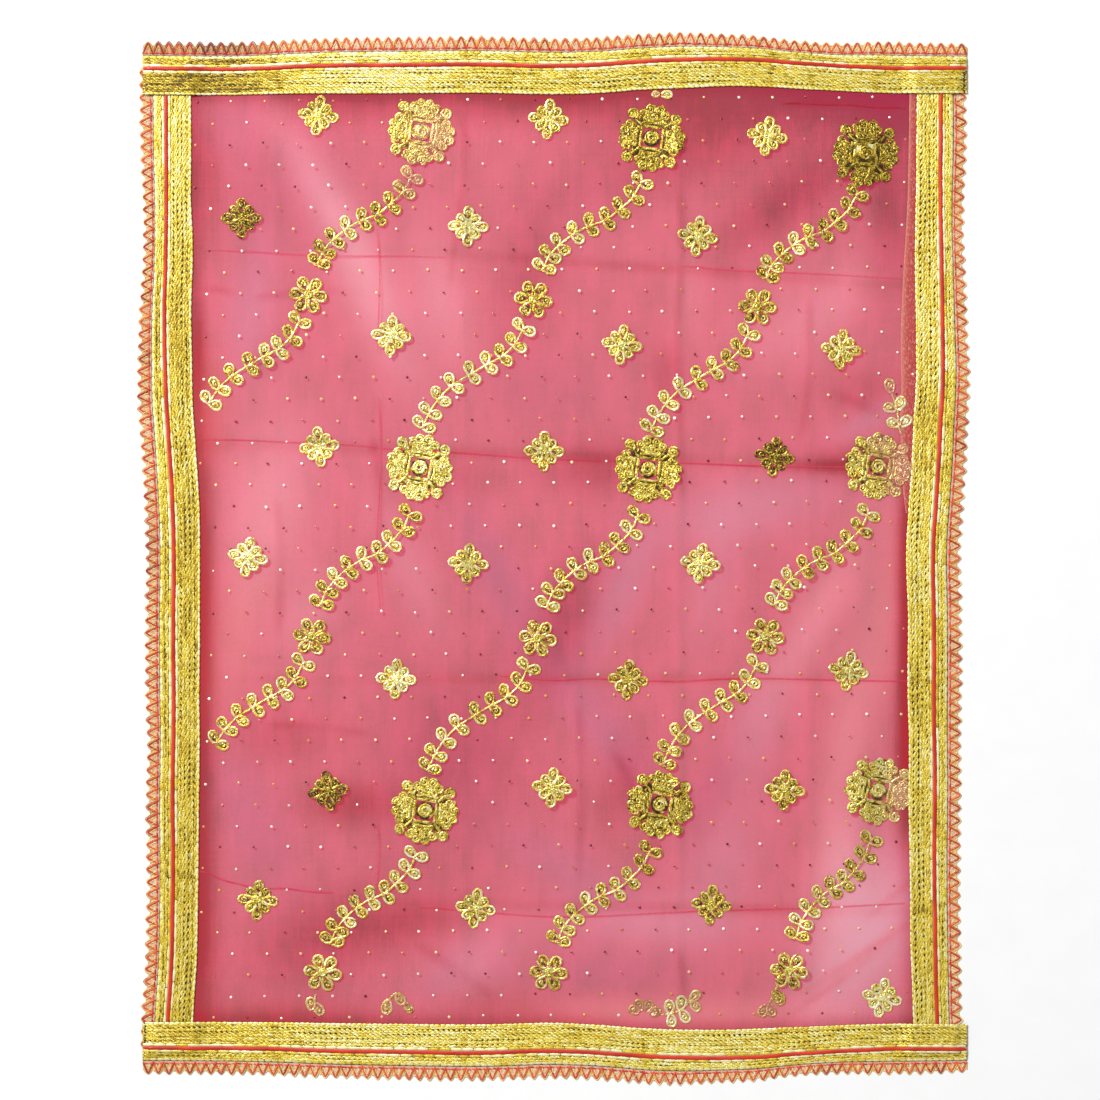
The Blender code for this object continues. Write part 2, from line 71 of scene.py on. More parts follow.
# How far the lace is drawn in by its seams, on the inner and on the outer side of its cord.
# Columns: place along the side, share of the full width inside the cord, share outside it.
LACE_DRAWN = {
    "top": (
        (-456, 0.92, 1), (-314, 0.92, 1), (-247, 0.98, 1.03), (-148, 1, 1.045), (-40, 1, 1.045),
        (80, 1, 1.02), (151, 1, 1), (190, 0.95, 0.935), (217, 0.94, 0.91), (245, 0.925, 0.855),
        (273, 0.91, 0.83), (317, 0.885, 0.85), (356, 0.885, 0.96), (400, 0.89, 0.95), (457, 0.89, 0.91),
    ),
    "bottom": (
        (-456, 0.91, 0.98), (-340, 0.94, 0.96), (-247, 0.985, 0.99), (-148, 1, 1.02), (-60, 1.01, 1.015),
        (51, 0.99, 1), (151, 1, 0.985), (190, 1, 0.907), (217, 1.01, 0.885), (245, 1, 0.825),
        (273, 0.95, 0.8), (317, 0.92, 0.83), (356, 0.9, 0.91), (400, 0.89, 0.92), (457, 0.88, 0.86),
    ),
    "left": (
        (-550, 0.89, 0.98), (-432, 0.895, 0.98), (-332, 0.9, 0.985), (-266, 0.93, 0.99),
        (-199, 0.935, 0.97), (-150, 0.905, 1.045), (-83, 0.945, 1.045), (0, 0.925, 1.035),
        (66, 0.95, 1.04), (133, 0.94, 1.05), (175, 0.93, 1.08), (221, 0.96, 0.995), (249, 0.965, 0.96),
        (277, 0.955, 0.92), (304, 0.955, 0.877), (332, 0.965, 0.85), (365, 0.935, 0.835),
        (398, 0.875, 0.87), (442, 0.88, 0.95), (550, 0.88, 0.98),
    ),
    "right": (
        (-550, 0.86, 0.91), (-465, 0.86, 0.92), (-432, 0.885, 0.925), (-365, 0.875, 0.94),
        (-299, 0.905, 0.955), (-266, 0.94, 0.96), (-199, 0.91, 0.97), (-133, 0.94, 1.02),
        (-66, 0.92, 1.015), (0, 0.955, 1.005), (66, 0.965, 1.005), (138, 0.97, 1.01), (194, 0.96, 0.985),
        (221, 0.955, 0.965), (249, 0.955, 0.915), (304, 0.955, 0.873), (332, 0.95, 0.85),
        (360, 0.93, 0.817), (387, 0.9, 0.835), (415, 0.875, 0.87), (442, 0.865, 0.93), (550, 0.86, 0.88),
    ),
}

# Columns: place along the side, distance of the red cord from the veil's middle line
CORD_LINES = {
    "top": (
        (-456, 544.5), (-347, 544), (-258, 547.5), (-170, 548.5), (-81, 549), (7, 547.5), (52, 549),
        (96, 552.5), (184, 555), (229, 554), (273, 550.5), (317, 547.5), (361, 545.5), (457, 545),
    ),
    "bottom": (
        (-456, 539), (-391, 539.5), (-303, 541), (-258, 542.5), (-170, 544), (-81, 545), (7, 543),
        (52, 545), (96, 548.5), (184, 550.5), (229, 549.5), (273, 546), (317, 543), (361, 541),
        (457, 540.5),
    ),
    "left": (
        (-550, 428.5), (-509, 427.5), (-443, 423.5), (-376, 422), (-243, 422), (-155, 421), (-66, 421.5),
        (22, 421), (66, 422.5), (133, 426.5), (199, 430), (266, 431.5), (332, 430), (509, 429.5),
        (550, 430),
    ),
    "right": (
        (-550, 425.5), (-509, 424), (-421, 422), (-332, 421), (-243, 421.5), (-155, 420.5), (-66, 420.5),
        (22, 420), (66, 423), (111, 426), (155, 428), (199, 430.5), (244, 430.5), (332, 429), (420, 428),
        (550, 428.5),
    ),
}


# %% Reading a table as a smooth curve
def smooth_through(rows, at):
    """Values at the places asked for, on a smooth curve through (place, value) rows."""
    places, values = np.array(rows, float).T
    at = np.clip(np.asarray(at, float), places[0], places[-1])
    slopes = np.gradient(values, places)
    first = np.clip(np.searchsorted(places, at, side="right") - 1, 0, len(places) - 2)
    run = places[first + 1] - places[first]
    t = (at - places[first]) / run
    take = 3 * t**2 - 2 * t**3
    start = (t**3 - 2 * t**2 + t) * run * slopes[first]
    end = (t**3 - t**2) * run * slopes[first + 1]
    return (1 - take) * values[first] + take * values[first + 1] + start + end


def path_through(knots, count):
    """A smooth path through (across, up) places: its points across and up, and where each is."""
    knots = np.array(knots, float)
    numbers = np.arange(len(knots))
    fine = np.linspace(0.0, len(knots) - 1.0, count)
    across = smooth_through(np.stack([numbers, knots[:, 0]], axis=1), fine)
    up = smooth_through(np.stack([numbers, knots[:, 1]], axis=1), fine)
    return across, up, fine


def smooth_step(value):
    """0 below 0 and 1 above 1, with a smooth climb between."""
    value = np.clip(value, 0.0, 1.0)
    return value * value * (3.0 - 2.0 * value)


def edge_distance(side, along, across):
    """Distance from the veil's middle line to a point that lies across the lace of one side."""
    rows = np.array(LACE_DRAWN[side])
    inside = smooth_through(rows[:, [0, 1]], along)
    outside = smooth_through(rows[:, [0, 2]], along)
    drawn = np.where(np.asarray(across) < CORD_ACROSS, inside, outside) * (across - CORD_ACROSS)
    return smooth_through(CORD_LINES[side], along) + drawn


def place_on_side(side, along, across):
    """Plan points, from places along a side and across that side's lace."""
    away = edge_distance(side, along, across)
    along = along + 0.0 * away
    plan = {
        "top": (along, away),
        "bottom": (along, -away),
        "left": (-away, along),
        "right": (away, along),
    }
    return plan[side]


def strip_span(side):
    """Where the lace of one side starts and ends along that side."""
    if side in ("top", "bottom"):
        return STRIP_ENDS
    corner = CORD_LINES[side][-1][1] * (-1.0 if side == "left" else 1.0)
    top = float(edge_distance("top", corner, SIDE_STRIP_END_ACROSS))
    bottom = float(edge_distance("bottom", corner, SIDE_STRIP_END_ACROSS))
    return (-bottom, top)


# %% [markdown]
# ## Where the lace lies on lace
# The side lengths are sewn on first. The top and bottom lengths cross them at the corners, so they climb
# over 2.6 mm of tape there and come down to the floor at their raw ends. A cloth simulation could find
# that climb, but the frame has already settled it, so the scene repeats the same short table.

# %% Heights in the border
SEAM_GAP = 0.3
TAPE_BASE = NET_WALL + SEAM_GAP
GROUND_THICK = 0.5
CLIMB = ((-16, 0), (-0.6, 2.6), (46.6, 2.6), (52, 0.3), (66, 0.3))
CLIMB_FADES = (SIDE_STRIP_END_ACROSS + 0.6, NET_EDGE_ACROSS)
GROUND_TOP = (
    (0.0, TAPE_BASE + 0.35),
    (2.0, TAPE_BASE + GROUND_THICK),
    (42.5, TAPE_BASE + GROUND_THICK),
    (TAPE_WIDTH, 0.8),
)


def climb(side, along, across):
    """How far the top or bottom lace is lifted by the side strip under it."""
    if side in ("left", "right"):
        return 0.0 * (along + across)
    corner = CORD_LINES[side][0][1] * (-1.0 if side == "bottom" else 1.0)
    left = edge_distance("left", corner, 0.0)
    right = edge_distance("right", corner, 0.0)
    crossed = np.where(along < 0.0, -along - left, along - right)
    fade = np.interp(across, CLIMB_FADES, (1.0, 0.0))
    return fade * np.interp(crossed, *np.transpose(CLIMB))


def ground_height(side, along, across):
    """Height of the tape's ground, on which its stitches and cord lie."""
    return np.interp(across, *np.transpose(GROUND_TOP)) + climb(side, along, across)


print("Tape over tape rises to", round(float(ground_height("top", np.array(420.0), 20.0)), 2), "mm")

# %% [markdown]
# ## Making meshes from arrays
# Every piece here is a grid of points of some kind: a sheet, a swept ring or many copies of one small
# form. Modifiers such as Array and Curve could repeat a stitch, but they bend it with its line and give
# no say over one stitch alone. Arrays of points are quick to compute and each stitch can differ, so a few
# small helpers build the grids, and one makes the Blender object.


# %% Mesh helpers
def grid_faces(rows, columns, ring=False):
    """Quads of a grid whose points count row by row. A ring joins each row's end to its start."""
    wraps = columns if ring else columns - 1
    row, column = np.meshgrid(np.arange(rows - 1), np.arange(wraps), indexing="ij")
    here = (row * columns + column).ravel()
    beside = (row * columns + (column + 1) % columns).ravel()
    return np.stack([here, beside, beside + columns, here + columns], axis=1)


def repeat_faces(faces, points_each, count):
    """The same faces for a number of like forms, one after another."""
    starts = np.arange(count)[:, None, None] * points_each
    return (faces[None] + starts).reshape(-1, faces.shape[1])


def as_points(x, y, z):
    """Rows of three numbers from three arrays of one shape."""
    return np.stack([x, y, z], axis=-1).reshape(-1, 3)


def join_parts(parts):
    """Join (points, faces, tones) parts into one."""
    starts = np.cumsum([0] + [len(points) for points, _, _ in parts[:-1]])
    points = np.concatenate([part[0] for part in parts])
    faces = np.concatenate([part[1] + start for part, start in zip(parts, starts)])
    tones = np.concatenate([part[2] for part in parts])
    return points, faces, tones


def add_object(name, data):
    """An object that holds a mesh, a lamp or a camera, placed in the scene."""
    made = bpy.data.objects.new(name, data)
    bpy.context.scene.collection.objects.link(made)
    return made


def make_piece(name, points, faces, material, values=None, smooth=True):
    """Make one piece that rides on the veil, from points in the tables' millimetres."""
    middle = np.array([OUTLINE_MIDDLE[0], OUTLINE_MIDDLE[1], 0.0])
    mesh = bpy.data.meshes.new(name)
    faces = faces if isinstance(faces, list) else faces.tolist()
    mesh.from_pydata(((points - middle) * MM).tolist(), [], faces)
    for label, numbers in (values or {}).items():
        attribute = mesh.attributes.new(label, "FLOAT", "POINT")
        attribute.data.foreach_set("value", np.asarray(numbers, np.float32).ravel())
    mesh.materials.append(material)
    if smooth:
        mesh.shade_smooth()
    made = add_object(name, mesh)
    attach(made, BODY)
    triangles = sum(len(face.vertices) - 2 for face in mesh.polygons)
    print(f"{name}: {triangles} triangles")
    return made


# %% [markdown]
# ## Building materials from nodes
# A material is a small network of nodes. It could be drawn by hand in the shader editor, but helpers keep
# the later cells short and alike: they add a node and set its values, a colour ramp, a mix, or a noise in
# the cloth's own millimetres. The last one joins the finished colour and bump to the shader.


# %% Material helpers
def start_material(name, roughness, metallic=0.0, sheen=0.0):
    """A new material with the numbers that are the same all over it."""
    made = bpy.data.materials.new(name)
    made.use_nodes = True
    shader = made.node_tree.nodes["Principled BSDF"]
    shader.inputs["Roughness"].default_value = roughness
    shader.inputs["Metallic"].default_value = metallic
    shader.inputs["Sheen Weight"].default_value = sheen
    return made, shader


def add_node(material, kind, inputs=None, **settings):
    """A node of some kind, with its input values and its settings."""
    node = material.node_tree.nodes.new(kind)
    for label, value in settings.items():
        setattr(node, label, value)
    for label, value in (inputs or {}).items():
        node.inputs[label].default_value = value
    return node


def link(material, output, socket):
    """Feed a node's output into a socket."""
    material.node_tree.links.new(output, socket)


def add_math(material, operation, first, second):
    """A Math node. Each of its two terms is a number or another node's output."""
    node = add_node(material, "ShaderNodeMath", operation=operation)
    for socket, term in zip(node.inputs, (first, second)):
        if isinstance(term, (int, float)):
            socket.default_value = term
        else:
            link(material, term, socket)
    return node.outputs[0]


def add_ramp(material, factor, stops):
    """A colour ramp. Columns of stops: place, red, green, blue."""
    node = add_node(material, "ShaderNodeValToRGB")
    ramp = node.color_ramp
    while len(ramp.elements) < len(stops):
        ramp.elements.new(1.0)
    for element, (place, red, green, blue) in zip(ramp.elements, stops):
        element.position = place
        element.color = (red, green, blue, 1.0)
    link(material, factor, node.inputs["Fac"])
    return node.outputs["Color"]


def add_mix(material, factor, first, second):
    """Mix two colours, each an output or a (red, green, blue) value."""
    node = add_node(material, "ShaderNodeMix", data_type="RGBA")
    for socket, term in ((node.inputs[0], factor), (node.inputs[6], first), (node.inputs[7], second)):
        if isinstance(term, tuple):
            socket.default_value = (*term, 1.0)
        elif isinstance(term, (int, float)):
            socket.default_value = term
        else:
            link(material, term, socket)
    return node.outputs[2]


def add_noise(material, size, stretch=(1.0, 1.0, 1.0), detail=2.0):
    """Noise whose features are about size millimetres across, longer where stretch is over 1."""
    spot = add_node(material, "ShaderNodeTexCoord")
    scale = [1.0 / (size * MM * longer) for longer in stretch]
    mapped = add_node(material, "ShaderNodeMapping", {"Scale": scale})
    noise = add_node(material, "ShaderNodeTexNoise", {"Scale": 1.0, "Detail": detail})
    link(material, spot.outputs["Object"], mapped.inputs["Vector"])
    link(material, mapped.outputs["Vector"], noise.inputs["Vector"])
    return noise.outputs["Fac"]


def add_threads(material, pitch, direction):
    """Even threads, one every pitch millimetres, counted along X, Y or Z."""
    spot = add_node(material, "ShaderNodeTexCoord")
    waves_in_one = 20.0 / (2.0 * math.pi)
    wave = add_node(
        material,
        "ShaderNodeTexWave",
        {"Scale": 1.0 / (waves_in_one * pitch * MM), "Distortion": 0.0},
        bands_direction=direction,
    )
    link(material, spot.outputs["Object"], wave.inputs["Vector"])
    return wave.outputs["Fac"]


def add_weave(material, pitch):
    """Threads across and up, each showing over the holes between the others."""
    across, up = add_threads(material, pitch, "X"), add_threads(material, pitch, "Y")
    return add_math(material, "MAXIMUM", across, up)


def add_scaled(material, value, share, start=0.0):
    """A value times a share, plus a start where one is given."""
    scaled = add_math(material, "MULTIPLY", value, share)
    return add_math(material, "ADD", scaled, start) if start else scaled


def add_attribute(material, label):
    """A number that the mesh holds for each of its points."""
    return add_node(material, "ShaderNodeAttribute", attribute_name=label).outputs["Fac"]


def add_bump(material, shader, height, distance):
    """Bump the surface by a height output, over a distance in millimetres."""
    node = add_node(material, "ShaderNodeBump", {"Strength": 1.0, "Distance": distance * MM})
    link(material, height, node.inputs["Height"])
    link(material, node.outputs["Normal"], shader.inputs["Normal"])


def paint(material, shader, colour, height, distance, cover=None):
    """Give a material its colour, its bump and, for an open cloth, how much the threads cover."""
    link(material, colour, shader.inputs["Base Color"])
    if cover is not None:
        link(material, cover, shader.inputs["Alpha"])
    add_bump(material, shader, height, distance)


# %% [markdown]
# ## Camera
# The veil is seen from straight above, square on. A wide lens would splay its sides, and an orthographic
# camera has no lens to judge other views by. A long lens from far above gives nearly parallel rays.

# %% Camera
PICTURE_WIDTH = 1217.7
PICTURE_MIDDLE = (-4.05, 9.5)
LENS = 135.0
SENSOR = 36.0

camera_data = bpy.data.cameras.new("camera")
camera_data.lens = LENS
camera_data.sensor_width = SENSOR
camera = add_object("camera", camera_data)
camera_height = PICTURE_WIDTH * LENS / SENSOR + 2.0
camera.location = (PICTURE_MIDDLE[0] * MM, PICTURE_MIDDLE[1] * MM, camera_height * MM)
bpy.context.scene.camera = camera
print("Camera height in metres:", round(camera_height * MM, 3))

# %% [markdown]
# ## Floor and light
# The photograph is cut out on white. A pale floor under a bright, even sky gives nearly that white, and
# it also shows through the net. One broad light from the upper left makes the soft shadows to the lower
# right of the raised print. The sky is darker near the horizon, so that the foil has something dark to
# mirror.

# %% Floor and light
FLOOR_HALF = 4.0
FLOOR_DROP = 0.0003
KEY_PLACE = (-3.6, 3.9, 6.3)
KEY_SIZE = 2.0
KEY_POWER = 650.0
SKY_STRENGTH = 0.42

# How bright the sky is. Columns: height from straight down to straight up, grey
SKY_GREYS = ((0, 0.75), (0.18, 0.45), (0.45, 0.85), (0.75, 1), (0.93, 1), (1, 0.8))
FLOOR_GREYS = ((0.3, 0.955, 0.955, 0.955), (0.7, 0.975, 0.975, 0.975))

floor_mesh = bpy.data.meshes.new("floor")
corners = [(FLOOR_HALF * x, FLOOR_HALF * y, -FLOOR_DROP) for x, y in ((-1, -1), (1, -1), (1, 1), (-1, 1))]
floor_mesh.from_pydata(corners, [], [(0, 1, 2, 3)])
floor_finish, floor_shader = start_material("pale_floor", 0.7)
floor_tint = add_ramp(floor_finish, add_noise(floor_finish, 40.0), FLOOR_GREYS)
link(floor_finish, floor_tint, floor_shader.inputs["Base Color"])
floor_mesh.materials.append(floor_finish)
floor = add_object("floor", floor_mesh)

key_data = bpy.data.lights.new("key", "AREA")
key_data.size = KEY_SIZE
key_data.energy = KEY_POWER
key = add_object("key", key_data)
key.location = KEY_PLACE
key.rotation_euler = (-key.location).to_track_quat("-Z", "Y").to_euler()

sky = bpy.data.worlds.new("sky")
sky.use_nodes = True
bpy.context.scene.world = sky
sky_shader = sky.node_tree.nodes["Background"]
sky_shader.inputs["Strength"].default_value = SKY_STRENGTH
sky_spot = add_node(sky, "ShaderNodeTexCoord")
sky_height = add_node(sky, "ShaderNodeSeparateXYZ")
link(sky, sky_spot.outputs["Generated"], sky_height.inputs["Vector"])
sky_stops = [(place, grey, grey, grey) for place, grey in SKY_GREYS]
link(sky, add_ramp(sky, sky_height.outputs["Z"], sky_stops), sky_shader.inputs["Color"])
bpy.context.scene.view_settings.view_transform = "Standard"

# %% [markdown]
# ## How the net lies
# Stiff net remembers how it was packed. It touches the floor along its pressed folds and stands a few
# millimetres off it between them. A cloth simulation would settle a soft cloth well, but it would lose
# these sharp memories of a folded packet. The puffs, folds and creases are placed one by one instead,
# from short tables, and added up as one height for each place.

# %% Puffs, folds and creases
FLAT_MARGIN = 20.0
FULL_RISE_AT = 60.0

# Columns: height up the veil at its left, middle and right, depth at the left, depth at the right
CROSS_FOLDS = (
    (343, 331, 316, 0.35, 0.85), (132, 113, 102, 0.9, 1), (-111, -132, -133, 0.6, 0.9),
    (-363, -394, -382, 0.7, 0.6),
)
CROSS_FOLD_HALF = 8.0
CREASE_FADE = 25.0
CREASE_BEND = 3.0
CREASE_BEND_RUN = 41.0

# Columns: place across the veil, height of the ridge at the top, height at the bottom
DOWN_FOLDS = ((-309, 1.2, 0.8), (-101, 2, 1), (24, 0.8, 1.4), (137, 1.8, 2.2), (281, 1, 1.6))
DOWN_FOLD_HALF = 6.5

# Columns: place across, place up, half width, half height, rise
PUFFS = (
    (-330, 430, 80, 85, 5), (-195, 430, 80, 85, 3.5), (-40, 435, 80, 80, 4.5), (200, 430, 95, 75, 4.5),
    (330, 420, 60, 80, 5), (-330, 235, 70, 75, 4.5), (-200, 230, 80, 75, 5), (10, 222, 95, 80, 5.5),
    (225, 215, 85, 80, 4), (335, 205, 55, 70, 3), (-320, 5, 80, 90, 4.5), (-165, -15, 80, 85, 6),
    (40, -10, 95, 85, 3), (220, -5, 80, 85, 5.5), (335, -15, 55, 90, 4.5), (-330, -245, 75, 90, 5),
    (-185, -265, 85, 90, 3.5), (30, -262, 95, 90, 6), (220, -258, 80, 90, 4), (335, -245, 55, 85, 5),
    (-300, -455, 95, 40, 3.5), (-120, -460, 90, 40, 4.5), (70, -462, 90, 40, 3.5),
    (270, -455, 95, 45, 4.5),
)

# Columns: place across, place up, direction in degrees, half length, half width, rise
SOFT_FOLDS = (
    (-280, 393, -52, 150, 20, 3), (-262, 450, -52, 70, 16, 2.5), (-215, 60, -62, 85, 20, 2.5),
    (322, -55, 40, 75, 20, 2.5), (350, -285, 57, 75, 18, 2.5), (100, -455, 84, 60, 16, 3),
    (160, 330, -70, 80, 18, 2.5), (-60, -430, 62, 70, 18, 2.5),
)

# Sharp creases. Columns: start across and up, end across and up, half width, rise
CREASES = (
    (-399, 304, -342, 291, 4, 0.9), (-342, 291, -226, 299, 4, 0.7), (251, 506, 388, 501, 4.5, 1),
    (-100, 500, -112, 300, 4, 0.8), (137, 420, 139, 60, 4, 0.8), (-330, -180, -198, -192, 4, 0.7),
    (-203, 150, -192, -20, 5, 0.6), (24, -150, 31, -360, 4.5, 0.7), (281, 300, 276, 130, 4.5, 0.6),
    (-309, 80, -303, -90, 4.5, 0.6), (136, -420, 142, -500, 5, 0.8), (60, -200, 120, -330, 6, 0.8),
    (-160, -420, -60, -490, 6, 0.8), (300, 190, 380, 150, 6, 0.8),
)

# Slack that runs in long low waves. Columns: wave length across, wave length up, start, rise
RIPPLES = (
    (83, -260, 0.3, 0.3), (-57, 190, 1.9, 0.22), (410, 71, 4, 0.22), (37, 300, 2.2, 0.14),
)


def net_edges(x, y, across):
    """Left, right, bottom and top bounds of the net, at a line across the lace."""
    left = -edge_distance("left", y, across)
    right = edge_distance("right", y, across)
    bottom = -edge_distance("bottom", x, across)
    top = edge_distance("top", x, across)
    return left, right, bottom, top


def long_mound(x, y, at_x, at_y, direction, half_length, half_width):
    """1 on the middle of a long mound that lies at a direction in degrees, fading to 0 around it."""
    turn = math.radians(direction)
    along = (x - at_x) * math.cos(turn) + (y - at_y) * math.sin(turn)
    beside = (y - at_y) * math.cos(turn) - (x - at_x) * math.sin(turn)
    return np.exp(-((along / half_length) ** 2) - (beside / half_width) ** 2)


def crease_line(x, y, row):
    """1 on a sharp crease between two places, fading to 0 beside it and past its ends."""
    start_x, start_y, end_x, end_y, half_width, _ = row
    length = math.hypot(end_x - start_x, end_y - start_y)
    ahead_x, ahead_y = (end_x - start_x) / length, (end_y - start_y) / length
    along = (x - start_x) * ahead_x + (y - start_y) * ahead_y
    beside = (y - start_y) * ahead_x - (x - start_x) * ahead_y
    beside = beside - CREASE_BEND * np.sin(along / CREASE_BEND_RUN)
    shown = smooth_step(along / CREASE_FADE) * smooth_step((length - along) / CREASE_FADE)
    return shown * np.exp(-((beside / half_width) ** 2)) * (0.75 + 0.25 * np.sin(along / 17.0))


def cross_fold(x, y, row):
    """How strongly a fold that runs across the veil presses the net down at a place."""
    left, middle, right, depth_left, depth_right = row
    half = float(edge_distance("right", 0.0, 0.0))
    line = np.interp(x, (-half, 0.0, half), (left, middle, right))
    depth = np.interp(x, (-half, half), (depth_left, depth_right))
    return depth * np.exp(-(((y - line) / CROSS_FOLD_HALF) ** 2))


def net_height(x, y):
    """Height of the middle of the net's wall above the floor."""
    left, right, bottom, top = net_edges(x, y, 0.0)
    rise = 0.0 * x
    for at_x, at_y, half_x, half_y, height in PUFFS:
        rise = rise + height * np.exp(-(((x - at_x) / half_x) ** 2) - ((y - at_y) / half_y) ** 2)
    for at_x, at_y, direction, half_length, half_width, height in SOFT_FOLDS:
        rise = rise + height * long_mound(x, y, at_x, at_y, direction, half_length, half_width)
    for at_x, top_ridge, bottom_ridge in DOWN_FOLDS:
        part = np.clip((y - bottom) / (top - bottom), 0.0, 1.0)
        ridge = bottom_ridge + part * (top_ridge - bottom_ridge)
        rise = rise + ridge * np.exp(-(((x - at_x) / DOWN_FOLD_HALF) ** 2))
    for wave_x, wave_y, start, height in RIPPLES:
        rise = rise + height * np.sin(2.0 * math.pi * (x / wave_x + y / wave_y) + start)
    for row in CREASES:
        rise = rise + row[-1] * crease_line(x, y, row)
    for row in CROSS_FOLDS:
        rise = rise * (1.0 - cross_fold(x, y, row))
    for inside in (x - left, right - x, y - bottom, top - y):
        rise = rise * smooth_step((inside - FLAT_MARGIN) / (FULL_RISE_AT - FLAT_MARGIN))
    return NET_WALL / 2.0 + np.maximum(rise, 0.0)


# %% [markdown]
# ## The net's cloth
# The net is woven from hair-fine threads, so light passes through its holes and through the threads too.
# A real mesh of threads would need millions of faces. A thin sheet whose Alpha is set by two fine thread
# waves shows the floor and the shadows behind it in the same way. Its colour is never even: it is deep
# where two layers or a fold overlap and pale or mauve where it stands off the floor, so a table of soft
# patches tints it. The overlaps are the net's own colour. The pale and mauve stretches where it stands off
# the floor, and the darker bands along its pressed folds, are painted light and shade.

# %% The net's colour patches and painted shade
# Partly the net's own overlaps, partly painted light and shade. Columns: place across, place up, direction
# in degrees, half length, half width, deeper, cooler
NET_TINT_AND_SHADE_PATCHES = (
    (345, 520, 0, 140, 50, 0.8, 0.2), (372, 410, 90, 100, 28, 0.5, 0.1),
    (265, 405, 35, 100, 32, 0.5, 0.1), (-394, 232, 90, 62, 9, 0.5, -0.2),
    (160, 470, 10, 110, 50, 0.45, 0), (40, 405, 10, 90, 26, 0.1, 0.1), (0, 510, 0, 160, 26, 0.55, -0.1),
    (-235, 512, 0, 90, 26, 0.4, -0.1), (-388, 430, 90, 90, 20, 0.35, -0.2),
    (-262, 415, -58, 100, 24, -0.45, 0), (-205, 300, -66, 110, 30, -0.55, 0),
    (-336, 280, 80, 80, 26, -0.15, 0.6), (-360, 480, 0, 40, 36, -0.05, 0.3),
    (-300, 425, 0, 90, 75, 0.14, 0.22), (-126, 290, -75, 80, 30, -0.4, 0),
    (-26, 320, 80, 70, 34, 0.28, 0.1), (-10, 190, 0, 70, 40, 0.05, 0.2), (123, 205, 85, 40, 22, 0.25, 0),
    (150, 300, 85, 60, 22, -0.2, -0.1), (262, 262, 30, 70, 45, -0.3, 0), (323, 300, 60, 50, 26, -0.2, 0),
    (350, 190, 0, 50, 26, 0.2, -0.1), (-380, 170, 90, 60, 22, 0.1, -0.7),
    (-314, 70, 80, 95, 50, -0.42, 0), (-392, -60, 90, 200, 17, 0.75, -0.5),
    (-345, -60, 78, 110, 28, -0.2, -0.7), (-272, -60, 70, 55, 32, -0.3, 0),
    (-165, 0, -65, 90, 26, -0.25, 0.1), (-126, 92, 0, 60, 24, 0.2, 0),
    (-60, -20, -60, 90, 28, 0.05, 0.6), (10, -70, 70, 80, 34, 0.42, 0.1),
    (75, -30, 65, 80, 24, -0.2, 0.6), (50, 105, 0, 60, 28, 0.4, 0), (175, -20, 80, 80, 30, -0.2, 0.2),
    (218, 60, 12, 100, 34, -0.25, 0.5), (330, 108, 0, 60, 18, 0.5, -0.1),
    (355, 160, 30, 50, 14, -0.2, 0.5), (290, -60, 62, 110, 26, -0.4, -0.2),
    (365, -66, 85, 110, 16, -0.15, -0.5), (392, -60, 90, 170, 11, 0.85, -0.3),
    (390, -230, 90, 90, 14, 0.6, -0.3), (322, -215, 82, 170, 26, -0.35, -0.5),
    (322, -345, 80, 60, 30, -0.45, 0.1), (225, -180, 75, 70, 30, -0.2, 0.4),
    (173, -252, 60, 60, 22, 0.15, 0.3), (51, -180, -50, 80, 28, 0, 0.6),
    (-110, -215, 70, 110, 80, 0.32, 0.2), (-300, -195, 0, 60, 30, 0.25, -0.1),
    (-225, -268, 0, 50, 24, 0.45, -0.2), (-340, -280, -65, 90, 36, 0.05, 0.5),
    (-390, -400, 90, 150, 18, 0.6, -0.3), (-250, -415, 20, 90, 45, 0.45, 0),
    (-150, -398, 10, 60, 24, 0.3, -0.1), (-95, -445, 30, 60, 30, -0.25, 0.4),
    (20, -345, -30, 90, 28, -0.05, 0.5), (74, -248, 70, 50, 24, 0.3, 0),
    (110, -400, 0, 110, 28, -0.3, 0.3), (184, -340, 70, 70, 40, -0.2, 0.4),
    (345, -415, 60, 110, 50, -0.78, 0.55), (340, -436, 33, 62, 5, 0.34, -0.6),
    (316, -464, 36, 55, 4.5, 0.28, -0.5), (372, -374, 40, 34, 5, 0.22, -0.3),
    (51, -455, 0, 80, 26, 0.05, 0.4), (-60, -498, 0, 70, 20, 0.25, -0.1),
    (120, -500, 0, 150, 18, -0.25, -0.8), (-300, -506, 0, 130, 20, 0.35, -0.3),
    (-60, 118, -2, 460, 7, 0.18, -0.1), (330, 104, 0, 90, 7, 0.35, -0.2),
    (180, -385, -1, 230, 7, 0.28, -0.3), (60, -131, 0, 330, 6, 0.16, -0.2),
    (140, 322, -4, 250, 6, 0.2, -0.1),
)

# Painted shade: the net is darkened on a crease, and in a soft band beside the lace
CREASE_SHADE_DEPTH = 0.22
LACE_EDGE_SHADE_DEPTH = 0.35
LACE_EDGE_SHADE_WIDTH = 10.0


def net_tint_and_shade(x, y):
    """How deep and how cool the rose is at each place, about -1 to 1, with painted shade on creases and
    beside the lace.
    """
    deeper = 0.0 * x
    cooler = 0.0 * x
    for at_x, at_y, direction, half_length, half_width, deep, cool in NET_TINT_AND_SHADE_PATCHES:
        mound = long_mound(x, y, at_x, at_y, direction, half_length, half_width)
        deeper = deeper + deep * mound
        cooler = cooler + cool * mound
    # Painted shade: darker on the creases and in a band beside the lace
    for row in CREASES:
        deeper = deeper + CREASE_SHADE_DEPTH * crease_line(x, y, row)
    left, right, bottom, top = net_edges(x, y, 0.0)
    for inside in (x - left, right - x, y - bottom, top - y):
        deeper = deeper + LACE_EDGE_SHADE_DEPTH * np.exp(-((inside / LACE_EDGE_SHADE_WIDTH) ** 2))
    return deeper, cooler


# %% The net's finish
NET_THREAD_PITCH = 0.5

